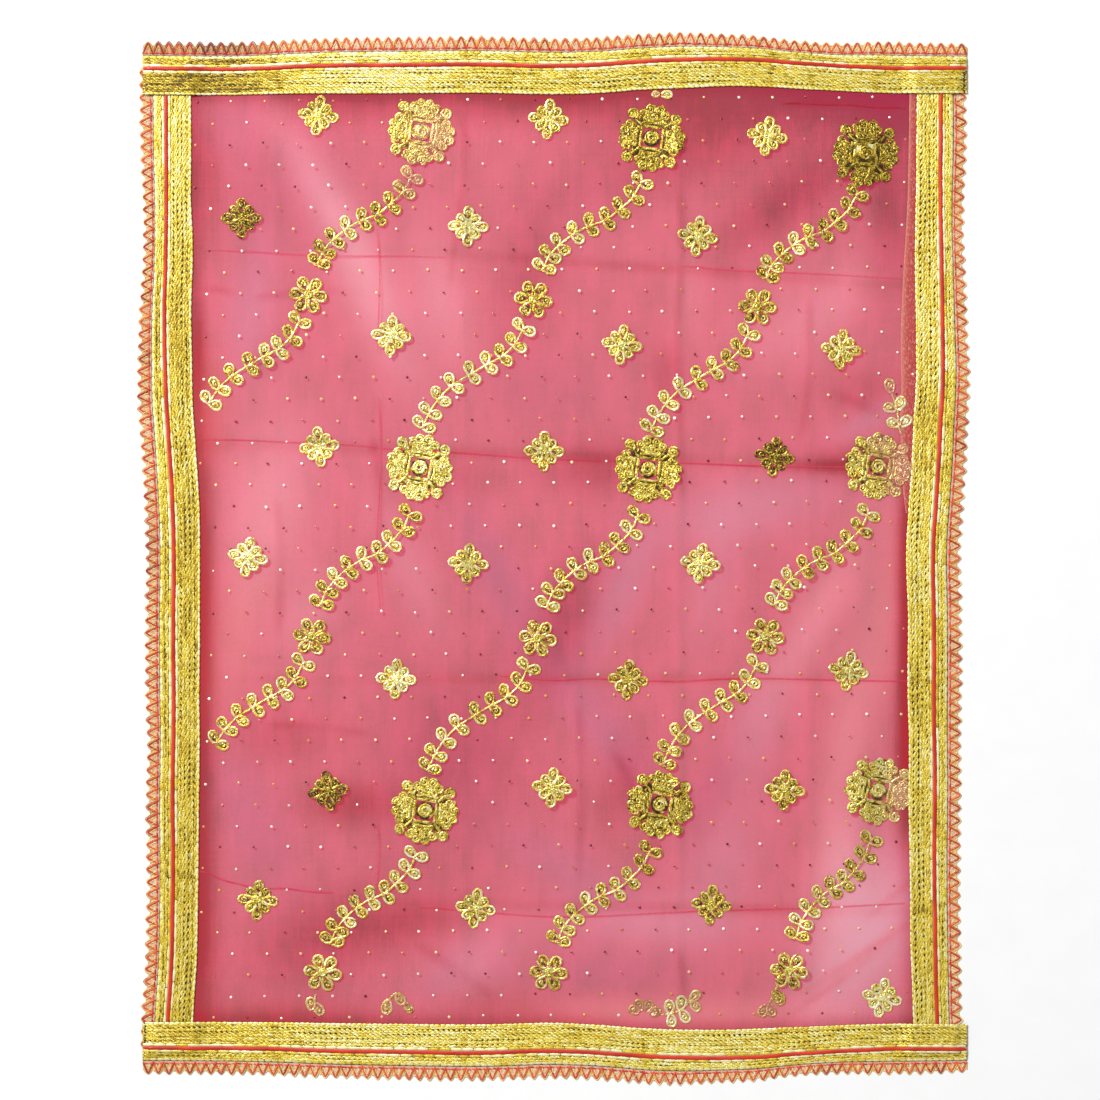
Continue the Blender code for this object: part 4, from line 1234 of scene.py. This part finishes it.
# %% The border's pieces
for side in SIDES:
    points, faces, groove = sweep_ground(side)
    values = {"groove": groove}
    ground = make_piece(f"lace_ground_{side}", points, faces, ground_finish, values, False)
    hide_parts(f"lace_tape_{side}")
    points, faces, tone = lace_stitches(side)
    knitting = make_piece(f"lace_stitches_{side}", points, faces, yarn_finish, {"tone": tone})
    points, faces = cord_points(side)
    cord = make_piece(f"lace_cord_{side}", points, faces, cord_finish)
    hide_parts(f"red_cord_{side}")
    points, faces, shade = edging_net(side)
    edging = make_piece(f"edging_net_{side}", points, faces, edging_finish, {"shade": shade})
    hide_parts(f"picot_edge_{side}")
    points, faces, tone = red_threads(side)
    zigzag = make_piece(f"edging_thread_{side}", points, faces, red_finish, {"tone": tone})
    points, faces, tone = gold_loops(side)
    loops = make_piece(f"edging_loops_{side}", points, faces, loop_finish, {"tone": tone})

    under = ["rose_net"]
    if side in ("top", "bottom"):
        under += ["lace_ground_left", "lace_ground_right"]

# %% [markdown]
# ## Fine folds in the net
# Where the packet's folds were pressed sharpest, each shows as one fine line, and near the top a narrow
# tuck shows as a dark one. The net's grid is too coarse for them. Each is a narrow ribbon of the same
# cloth, with a low ridge down its middle, laid along a short table of places.

# %% Fine folds
# Columns: how deep and how cool its rose is, and its places across and up
FINE_FOLDS = (
    (0.9, -0.2, ((251, 506), (300, 505.5), (345, 503), (388, 500.5))),
    (-0.35, -0.3, ((-393, -344), (-364, -354), (-336, -361), (-292, -364), (-245, -368))),
    (-1.05, -0.4, ((-392, 344), (-250, 338), (-120, 336))),
    (-1, -0.4, ((140, 326), (200, 322), (388, 312))),
    (-0.85, -0.4, ((-396, 134), (-280, 131), (-194, 125))),
    (-0.45, -0.4, ((-190, 124), (0, 113), (200, 106), (385, 102))),
    (-0.5, -0.5, ((-60, -128), (0, -132), (60, -131), (120, -134), (200, -131), (396, -133))),
    (-0.8, -0.5, ((-150, -384), (-90, -388), (0, -394), (180, -388), (388, -380))),
    (-1.1, -0.6, ((-196, 372), (-193, 300), (-195, 230))),
    (-0.95, -0.6, ((-194, 180), (-192, 100), (-196, 0), (-192, -60))),
    (-1.1, -0.6, ((-196, -290), (-194, -330), (-197, -380))),
)
FINE_FOLD_POINTS = 60
FINE_FOLD_HALF = 0.9
FINE_FOLD_RISE = 0.25
FINE_FOLD_WAVER = 0.6
FINE_FOLD_WANDER = 0.3

fold_parts = []
for deep, cool, places in FINE_FOLDS:
    fold_x, fold_y, fine = path_through(places, FINE_FOLD_POINTS)
    fold_x = fold_x + FINE_FOLD_WAVER * np.sin(3.1 * fine)
    fold_y = fold_y + FINE_FOLD_WAVER * np.sin(4.9 * fine)
    beside_x, beside_y = -np.gradient(fold_y), np.gradient(fold_x)
    offsets = np.array([-1.0, 0.0, 1.0]) * FINE_FOLD_HALF / np.hypot(beside_x, beside_y)[:, None]
    fold_x = fold_x[:, None] + offsets * beside_x[:, None]
    fold_y = fold_y[:, None] + offsets * beside_y[:, None]
    fold_z = net_height(fold_x, fold_y) + np.array([0.04, FINE_FOLD_RISE, 0.04])
    points = as_points(fold_x, fold_y, fold_z)
    ends = smooth_step(np.minimum(fine, fine[-1] - fine) / 0.4)
    depth_along = deep - 0.8 * (1.0 - ends) + FINE_FOLD_WANDER * np.sin(7.0 * fine + deep)
    tones = np.stack([np.repeat(depth_along, 3), np.full(3 * len(fine), cool)], axis=1)
    fold_parts.append((points, grid_faces(FINE_FOLD_POINTS, 3), tones))
points, faces, fold_tone = join_parts(fold_parts)
fold_values = {"deeper": fold_tone[:, 0], "cooler": fold_tone[:, 1]}
folds = make_piece("net_fine_folds", points, faces, net_finish, fold_values)
print("Fine folds:", len(FINE_FOLDS))

# %% [markdown]
# ## Drawing with foil
# The print is hot-stamped foil: glue is printed in lines about 2 mm wide, and foil sticks to it. Every
# motif is drawn with the same line, in small teardrop loops with a curl inside, so the print is built as
# a pen would draw it. A stroke is a narrow ribbon, low at its edges and crumpled along its crown. Its
# facets tilt at random, which gives the foil its glitter, and each point's random tone adds painted glints.

# %% Foil strokes
FOIL_HALF = 1.4
FOIL_LIFT = 0.30
FOIL_CROWN = 0.26
FOIL_CRUMPLE = 0.18
PATCH_SIDES = 12
PATCH_SPREAD = 0.34
foil_parts = []


def turned(x, y, forward, sideways, turn):
    """A place some way forward and sideways of another, after a turn in degrees."""
    ahead_x, ahead_y = math.cos(math.radians(turn)), math.sin(math.radians(turn))
    return x + forward * ahead_x - sideways * ahead_y, y + forward * ahead_y + sideways * ahead_x


def net_or_turn_height(x, y):
    """Height of whatever cloth is on top at a place: the net, or the turned-in selvedge."""
    inner = edge_distance("right", y, 0.0) - smooth_through(SELVEDGE_TURN, y)
    doubled = (x > inner) & (y > SELVEDGE_TURN[0][0])
    return np.where(doubled, NET_WALL + SEAM_GAP + 0.65, net_height(x, y))


def draw_stroke(x, y, half=FOIL_HALF, tone=0.62, spread=0.22):
    """Lay one foil stroke through plan points."""
    ahead_x, ahead_y = np.gradient(x), np.gradient(y)
    length = np.hypot(ahead_x, ahead_y) + 1e-9
    side_x, side_y = -ahead_y / length, ahead_x / length
    offsets = np.array([-1.0, 0.0, 1.0])
    wide = half * rng.uniform(0.82, 1.15, len(x))
    points_x = x[:, None] + side_x[:, None] * offsets * wide[:, None]
    points_y = y[:, None] + side_y[:, None] * offsets * wide[:, None]
    crumple = rng.uniform(-FOIL_CRUMPLE, FOIL_CRUMPLE, points_x.shape)
    lift = FOIL_LIFT + np.array([0.0, FOIL_CROWN, 0.0]) + crumple
    points_z = net_or_turn_height(points_x, points_y) + np.maximum(lift, 0.04)
    tones = tone + rng.normal(0.0, spread, points_x.shape)
    points = as_points(points_x, points_y, points_z)
    foil_parts.append((points, grid_faces(len(x), 3), tones.ravel()))


def draw_patch(x, y, direction, half_long, half_wide, tone):
    """Fill an oval with crumpled foil, a little lower than the strokes. Most callers give it a darker tone
    than their strokes, partly painted shade between them.
    """
    angle = np.linspace(0.0, 2.0 * math.pi, PATCH_SIDES, endpoint=False)
    ring = np.array([0.0, 0.5, 1.0])[:, None]
    forward = half_long * ring * np.cos(angle) * rng.uniform(0.88, 1.08, (3, PATCH_SIDES))
    sideways = half_wide * ring * np.sin(angle) * rng.uniform(0.88, 1.08, (3, PATCH_SIDES))
    patch_x, patch_y = turned(x, y, forward, sideways, direction)
    lift = 0.22 + rng.uniform(-0.14, 0.16, patch_x.shape)
    lift[0] = lift[0, 0]
    lift[2] = 0.06
    patch_z = net_or_turn_height(patch_x, patch_y) + lift
    tones = tone + rng.normal(0.0, PATCH_SPREAD, patch_x.shape)
    tones[0] = tones[0, 0]
    points = as_points(patch_x, patch_y, patch_z)
    foil_parts.append((points, grid_faces(3, PATCH_SIDES, ring=True), tones.ravel()))


def spiral(x, y, radius, start, turns, hand=1.0, inner=0.25, steps=9):
    """Plan points of a curl that winds in from a radius."""
    count = max(4, round(steps * turns) + 1)
    part = np.linspace(0.0, 1.0, count)
    angle = math.radians(start) + hand * 2.0 * math.pi * turns * part
    reach = radius * (1.0 - (1.0 - inner) * part**1.2)
    return x + reach * np.cos(angle), y + reach * np.sin(angle)


def draw_teardrop(x, y, direction, length, width, tone=0.62, hand=1.0, spread=0.26):
    """A loop that starts and ends at one place and points in a direction, with a curl inside."""
    middle_x, middle_y = turned(x, y, 0.56 * length, 0.0, direction)
    draw_patch(middle_x, middle_y, direction, 0.32 * length, 0.30 * width, tone - 0.34)
    part = np.linspace(0.04, 0.96, 13) * 2.0 * math.pi
    along = length * (0.5 - 0.5 * np.cos(part))
    beside = hand * 0.5 * width * np.sin(part) * (0.62 + 0.5 * (0.5 - 0.5 * np.cos(part)))
    turn = math.radians(direction)
    ahead = np.array([math.cos(turn), math.sin(turn)])
    loop_x = x + along * ahead[0] - beside * ahead[1]
    loop_y = y + along * ahead[1] + beside * ahead[0]
    draw_stroke(loop_x, loop_y, FOIL_HALF * 0.95, tone, spread)
    curl_x, curl_y = x + 0.60 * length * ahead[0], y + 0.60 * length * ahead[1]
    curl = spiral(curl_x, curl_y, 0.24 * width, direction + 180.0, 0.9, hand, inner=0.3, steps=8)
    draw_stroke(*curl, FOIL_HALF * 0.72, tone - 0.08, spread + 0.05)


# %% [markdown]
# ## The motifs
# The print has four motifs of the kind found on block prints and foil prints all over South Asia: a big
# flower round a square window, a six-petalled small flower, a diamond sprig, and a vine of paired leaves
# that joins the flowers. Each is a function of a place and a turn, made from the same teardrop and curl.
# Copying flat artwork would be quicker, but it would give no raised line and no glitter.

# %% Draw the motifs
BLURRED_TONE = 0.30

# The foil under one fan of a big flower. Columns: forward, half length, half width
FAN_PATCHES = ((14.2, 2.6, 13.5), (21.0, 6.0, 12.5), (27.0, 8.5, 14.5))

# The curls of the fan. Columns: forward, sideways, radius, which way it winds
FAN_CURLS = (
    (20.5, -7.0, 4.6, 1.0), (20.5, 7.0, 4.6, -1.0), (23.5, 0.0, 4.4, 1.0), (26.5, -12.0, 5.2, 1.0),
    (26.5, 12.0, 5.2, -1.0), (31.6, -5.2, 5.3, -1.0), (31.6, 5.2, 5.3, 1.0),
)


def draw_line(x, y, turn, start, end, sideways, half=FOIL_HALF, tone=0.62, bend=0.0):
    """A straight or slightly bent stroke beside a turned axis."""
    part = np.linspace(0.0, 1.0, max(3, round(abs(end - start) / 2.6)))
    forward = start + part * (end - start)
    bulge = sideways + bend * np.sin(math.pi * part)
    draw_stroke(*turned(x, y, forward, bulge, turn), half, tone)


def draw_big_flower(x, y, turn, tone):
    """Centre curl, square window, four fans of curls and four corner loops. A dull one has blurred."""
    if tone < BLURRED_TONE:
        draw_patch(x, y, turn, 19.0, 19.0, tone + 0.04)
    else:
        draw_patch(x, y, turn, 10.5, 10.5, tone - 0.46)
    draw_stroke(*spiral(x, y, 7.4, turn, 2.2, inner=0.15, steps=13), 1.4, tone + 0.10)
    for quarter in range(4):
        facing = turn + 90.0 * quarter
        for forward, half_long, half_wide in FAN_PATCHES:
            at_x, at_y = turned(x, y, forward, 0.0, facing)
            draw_patch(at_x, at_y, facing, half_long, half_wide, tone - 0.42)
        for reach, size in ((23.5, 5.5), (34.0, 6.3)):
            corner_x, corner_y = turned(x, y, reach, 0.0, facing + 45.0)
            draw_patch(corner_x, corner_y, facing, size, size, tone - 0.34)
        draw_line(x, y, facing + 90.0, -11.0, 11.0, -12.1, 1.6, tone + 0.03)
        draw_line(x, y, facing + 90.0, -11.5, 11.5, -15.6, 1.5, tone + 0.05, bend=-1.5)
        for forward, sideways, radius, hand in FAN_CURLS:
            at_x, at_y = turned(x, y, forward, sideways, facing)
            start = facing + rng.uniform(0.0, 360.0)
            curl = spiral(at_x, at_y, radius, start, 1.8, hand, inner=0.12, steps=11)
            draw_stroke(*curl, 1.25, tone + 0.04)
        corner_x, corner_y = turned(x, y, 34.0, 0.0, facing + 45.0)
        curl = spiral(corner_x, corner_y, 6.0, facing + 225.0, 1.9, inner=0.12, steps=12)
        draw_stroke(*curl, 1.35, tone + 0.06)
        draw_line(x, y, facing + 45.0, 17.5, 28.5, 0.0, 1.4, tone)


def draw_small_flower(x, y, turn, tone):
    """Six teardrop petals round a curled middle."""
    draw_patch(x, y, turn, 5.6, 5.6, tone - 0.34)
    draw_stroke(*spiral(x, y, 4.6, turn, 1.8, inner=0.15, steps=10), 1.3, tone)
    for petal in range(6):
        facing = turn + 60.0 * petal
        at_x, at_y = turned(x, y, 5.2, 0.0, facing)
        draw_teardrop(at_x, at_y, facing, 15.0, 12.0, tone, hand=(-1.0) ** petal)


def draw_sprig(x, y, turn, tone):
    """Four teardrops in a cross, with a smaller one between each two."""
    draw_patch(x, y, turn, 8.5, 8.5, tone - 0.16)
    draw_stroke(*spiral(x, y, 3.6, turn, 1.5, inner=0.2, steps=9), 1.3, tone)
    for quarter in range(4):
        facing = turn + 90.0 * quarter
        at_x, at_y = turned(x, y, 6.0, 0.0, facing)
        draw_teardrop(at_x, at_y, facing, 15.5, 10.2, tone, hand=(-1.0) ** quarter)
        at_x, at_y = turned(x, y, 3.5, 0.0, facing + 45.0)
        draw_teardrop(at_x, at_y, facing + 45.0, 13.0, 9.6, tone - 0.03, hand=-((-1.0) ** quarter))


def draw_leaf_pair(x, y, stem, tone):
    """Two leaves that spread from a stem, whose direction is in degrees."""
    draw_teardrop(x, y, stem + 62.0 + rng.uniform(-9.0, 9.0), 14.6, 10.8, tone, 1.0, 0.24)
    draw_teardrop(x, y, stem - 68.0 + rng.uniform(-9.0, 9.0), 13.8, 10.8, tone, -1.0, 0.24)


# %% [markdown]
# ## Laying out the print
# The print repeats about every 250 mm across and 370 mm down, but cloth creeps in the press, so no two
# repeats are quite alike. The places are short tables, and a vine is a table of fractions between the two
# flowers that it joins.

# %% Where the motifs are
# Columns: place across, place up, turn in degrees, tone of the foil
BIG_FLOWERS = (
    (-147, 475, -9, 0.52), (108, 468, -8, 0.35), (345, 451, -4, 0.27),
    (-149, 103, -10, 0.62), (104, 101, -9, 0.44), (359, 104, -9, 0.52),
    (-143, -277, -9, 0.51), (117, -270, -10, 0.44), (359, -255, -12, 0.6),
)
SMALL_FLOWERS = (
    (-272, 294, -7, 0.56), (-23, 289, -7, 0.52), (225, 281, -4, 0.5),
    (-268, -84, -7, 0.58), (-18, -86, -9, 0.6), (234, -84, -7, 0.56),
    (-256, -456, -9, 0.68), (-6, -456, -4, 0.6), (260, -454, -7, 0.56),
)
SPRIGS = (
    (-261, 493, -8, 0.6), (-6, 489, -6, 0.64), (236, 470, -10, 0.64), (-346, 379, 0, 0.26),
    (-95, 370, -2, 0.8), (159, 359, -8, 0.7), (-180, 249, -5, 0.76), (75, 239, -8, 0.68),
    (318, 234, -6, 0.64), (-260, 126, 6, 0.76), (-11, 121, -2, 0.68), (244, 115, -8, 0.28),
    (-339, 4, -10, 0.8), (-95, -3, -6, 0.66), (162, -3, -8, 0.72), (-175, -131, -4, 0.8),
    (82, -132, -6, 0.54), (326, -122, -10, 0.7), (-250, -255, 8, 0.26), (-2, -251, -6, 0.68),
    (255, -254, -4, 0.54), (-328, -376, -4, 0.58), (-87, -385, -8, 0.68), (174, -381, -6, 0.52),
    (363, -484, -12, 0.84),
)

# Where a vine's leaf pairs grow, as fractions of the way across and down to the next flower
VINE_TO_SMALL = (
    (0.095, 0.285), (0.165, 0.373), (0.284, 0.451), (0.404, 0.513), (0.541, 0.549),
    (0.67, 0.601), (0.789, 0.67), (0.872, 0.739), (0.918, 0.814),
)
VINE_TO_BIG = (
    (0.092, 0.179), (0.169, 0.273), (0.286, 0.344), (0.415, 0.39), (0.56, 0.448),
    (0.716, 0.515), (0.835, 0.595), (0.917, 0.681), (0.972, 0.761),
)

# Where a vine that runs off the left side would meet its next flower, by the number of its small flower
CUT_OFF_ENDS = {0: (-392, 118), 3: (-384, -258)}

# Where a vine's foil is duller, beside the dullest flower
VINE_DULL_AT = (345.0, 440.0)
VINE_DULL_REACH = 65.0
VINE_DULLER = 0.36
STEM_HALF = 1.0
STEM_TONE = 0.66
LEAF_TONE = 0.67
LEAF_TONE_SPREAD = 0.18


def draw_stem(knots, steps):
    """A thin stroke through places, with some steps for each of them."""
    x, y, _ = path_through(knots, steps * len(knots))
    draw_stroke(x, y, STEM_HALF, STEM_TONE)


def draw_vine(start, end, fractions):
    """A stem through the places of its leaf pairs, and the pairs."""
    shown = np.array(fractions)
    x = start[0] + shown[:, 0] * (end[0] - start[0])
    y = start[1] + shown[:, 1] * (end[1] - start[1])
    stem = np.degrees(np.arctan2(-np.gradient(y), -np.gradient(x)))
    for at_x, at_y, facing in zip(x, y, stem):
        away = math.dist((at_x, at_y), VINE_DULL_AT)
        duller = VINE_DULLER * math.exp(-((away / VINE_DULL_REACH) ** 2))
        tone = LEAF_TONE + rng.uniform(-LEAF_TONE_SPREAD, LEAF_TONE_SPREAD) - duller
        draw_leaf_pair(at_x, at_y, facing, tone)
    draw_stem(np.stack([x, y], axis=1), 6)


# Leaves left of the repeats that the border cuts off. Columns: foot across and up, direction, length, tone
LOOSE_LEAVES = (
    (380, 167, 66, 15, 0.92), (379, 167, 163, 14, 0.8), (383, 149, 41, 15, 0.94),
    (382, 149, 152, 14, 0.86), (374, 186, 105, 15, 0.7), (-268, -498, 100, 14, 0.66),
    (-264, -490, -62, 14, 0.7), (-183, -486, -105, 16, 0.72), (-174, -479, -62, 14, 0.66),
    (-165, -490, -55, 12, 0.5), (94, -501, 150, 12, 0.5), (96, -499, 105, 13, 0.52),
    (102, -500, 70, 13, 0.5), (106, -503, 30, 13, 0.46), (128, -502, 92, 15, 0.94),
    (129, -502, -82, 14, 0.94), (139, -498, 78, 16, 0.88), (140, -498, -55, 15, 0.92),
    (151, -488, 50, 14, 0.7), (152, -488, -50, 13, 0.74), (244, -475, -70, 15, 0.5),
    (251, -478, -96, 14, 0.44), (238, -491, -72, 14, 0.46), (235, -492, -118, 14, 0.46),
    (119, 516, 2, 11, 0.84), (117, 516, 175, 8, 0.7),
)
LOOSE_STEMS = (
    ((374, 186), (377, 176), (380, 167), (382, 149), (384, 139)),
    ((-264, -480), (-265, -486), (-264, -491)),
    ((-187, -492), (-182, -485), (-175, -479), (-168, -485)),
    ((119, -503), (128, -502), (139, -498), (151, -488), (162, -478)),
    ((247, -470), (244, -478), (238, -491)),
)

for start, end in zip(BIG_FLOWERS, SMALL_FLOWERS):
    draw_vine(start, end, VINE_TO_SMALL)
for number, start in enumerate(SMALL_FLOWERS[:6]):
    if number in CUT_OFF_ENDS:
        draw_vine(start, CUT_OFF_ENDS[number], VINE_TO_BIG[:-1])
    else:
        draw_vine(start, BIG_FLOWERS[number + 2], VINE_TO_BIG)
for x, y, direction, length, tone in LOOSE_LEAVES:
    draw_teardrop(x, y, direction, length, 0.74 * length, tone, spread=0.18)
for row in LOOSE_STEMS:
    draw_stem(row, 5)
for row in BIG_FLOWERS:
    draw_big_flower(*row)
for row in SMALL_FLOWERS:
    draw_small_flower(*row)
for row in SPRIGS:
    draw_sprig(*row)
print("Foil strokes:", len(foil_parts))

# %% [markdown]
# ## The foil's finish
# Good foil mirrors the room in broken facets. Where the print is worn, or where another layer of net lies
# over it, it turns a dull pink gold. A second number on the mesh says how worn the foil is at each place.

# %% Worn places and the finish
# Columns: place across, place up, half width, half height, share worn
WORN = (
    (-128, 466, 30, 42, 0.55), (-153, 424, 20, 22, 0.85), (388, 104, 20, 48, 0.85),
    (384, -262, 16, 40, 0.7), (362, 130, 16, 16, 0.5), (374, 192, 12, 12, 0.9), (372, 168, 8, 9, 0.5),
    (-256, -494, 24, 12, 0.6), (-172, -490, 24, 16, 0.6), (100, -500, 24, 18, 0.85),
    (158, -488, 12, 16, 0.6), (237, -496, 18, 12, 0.8), (112, 514, 8, 6, 0.7),
)

WORN_PINK = (0.66, 0.28, 0.20)

# Painted highlight: foil turns paler and whiter than yarn where it shines
FOIL_REFLECTION_STOPS = GOLD_REFLECTION_STOPS[:3] + ((0.64, 0.82, 0.65, 0.10), (0.82, 0.93, 0.84, 0.29), (1.00, 1.00, 0.97, 0.68))

foil_finish, foil_shader = gold_finish("gold_foil", 0.55, 1.5, 1.5, 0.5, FOIL_REFLECTION_STOPS)
foil_worn = add_attribute(foil_finish, "worn")
foil_gold = foil_shader.inputs["Base Color"].links[0].from_socket
foil_colour = add_mix(foil_finish, foil_worn, foil_gold, WORN_PINK)
link(foil_finish, foil_colour, foil_shader.inputs["Base Color"])

foil_points, foil_faces, foil_tone = join_parts(foil_parts)
foil_wear = np.zeros(len(foil_points))
for at_x, at_y, half_x, half_y, share in WORN:
    near = ((foil_points[:, 0] - at_x) / half_x) ** 2 + ((foil_points[:, 1] - at_y) / half_y) ** 2
    foil_wear = np.maximum(foil_wear, share * np.exp(-near))
foil_values = {"tone": foil_tone, "worn": foil_wear}
foil = make_piece("foil_print", foil_points, foil_faces, foil_finish, foil_values, False)

# %% [markdown]
# ## The foil dots
# Small foil dots fill the ground between the motifs, in staggered rows. Each is a low dome of a few
# faces, tilted its own way. Some flash white, some look orange or dark: each dot's tone is picked from a
# table, so the white flashes are painted glints and the dark ones painted dull reflections.

# %% The dots' finish
DOT_GLINT_COLOURS = (
    (0, 0.13, 0.01, 0.02), (0.25, 0.6, 0.15, 0.12), (0.5, 0.78, 0.36, 0.06), (0.75, 0.9, 0.7, 0.3),
    (1, 1, 0.95, 0.78),
)

dot_finish, dot_shader = start_material("dot_foil", roughness=0.36, metallic=0.3)
dot_specks = add_noise(dot_finish, 1.1)
dot_shine = add_math(dot_finish, "MULTIPLY", add_math(dot_finish, "SUBTRACT", dot_specks, 0.5), 0.5)
dot_tint = add_math(dot_finish, "ADD", add_attribute(dot_finish, "tone"), dot_shine)
dot_colour = add_ramp(dot_finish, dot_tint, DOT_GLINT_COLOURS)
paint(dot_finish, dot_shader, dot_colour, dot_specks, 0.3)

# %% Dots
DOT_STEP = 37.4
DOT_ROW = 23.6
DOT_HALF = 1.5
DOT_SIDES = 8
# Painted glints: each dot takes one of these tones, white for a flash and dark for a dull reflection
DOT_GLINT_TONES = (1.0, 0.72, 0.5, 0.25, 0.02)
DOT_SHARES = (0.30, 0.20, 0.12, 0.16, 0.22)

dot_rows = np.arange(-23, 24)
dot_columns = np.arange(-12, 13)
row_number, column_number = np.meshgrid(dot_rows, dot_columns, indexing="ij")
dot_x = (column_number + 0.5 * (row_number % 2)) * DOT_STEP - 3.0 + 0.9 * row_number
dot_y = row_number * DOT_ROW - 8.0 + 0.3 * column_number
dot_x = (dot_x + rng.uniform(-1.0, 1.0, dot_x.shape)).ravel()
dot_y = (dot_y + rng.uniform(-1.0, 1.0, dot_y.shape)).ravel()
left, right, bottom, top = net_edges(dot_x, dot_y, 0.0)
keep = (dot_x > left + 3.0) & (dot_x < right - 3.0) & (dot_y > bottom + 3.0) & (dot_y < top - 3.0)
for places, reach in ((BIG_FLOWERS, 40.0), (SMALL_FLOWERS, 23.0), (SPRIGS, 21.0)):
    for x, y, _, _ in places:
        keep &= np.hypot(dot_x - x, dot_y - y) > reach
dot_x, dot_y = dot_x[keep], dot_y[keep]

dot_angle = np.linspace(0.0, 2.0 * math.pi, DOT_SIDES, endpoint=False)
dot_half = DOT_HALF * rng.uniform(0.8, 1.1, len(dot_x))
ring_x = dot_x[:, None] + dot_half[:, None] * np.cos(dot_angle)
ring_y = dot_y[:, None] + dot_half[:, None] * np.sin(dot_angle)
tilt = rng.uniform(0.0, 2.0 * math.pi, len(dot_x))[:, None]
ring_z = net_or_turn_height(ring_x, ring_y) + 0.16 + 0.12 * np.cos(dot_angle - tilt)
top_z = net_or_turn_height(dot_x, dot_y) + 0.45
dot_rings = np.stack([ring_x, ring_y, ring_z], axis=-1)
dot_tops = np.stack([dot_x, dot_y, top_z], axis=-1)[:, None, :]
dot_points = np.concatenate([dot_rings, dot_tops], axis=1).reshape(-1, 3)
fan = np.array([(DOT_SIDES, i, i + 1, (i + 2) % DOT_SIDES) for i in range(0, DOT_SIDES, 2)])
dot_faces = repeat_faces(fan, DOT_SIDES + 1, len(dot_x))
dot_tone = rng.choice(DOT_GLINT_TONES, len(dot_x), p=DOT_SHARES)
dot_tones = np.repeat(dot_tone, DOT_SIDES + 1) + rng.uniform(-0.12, 0.12, len(dot_points))
dots = make_piece("foil_dots", dot_points, dot_faces, dot_finish, {"tone": dot_tones}, smooth=False)
print("Dots:", len(dot_x))
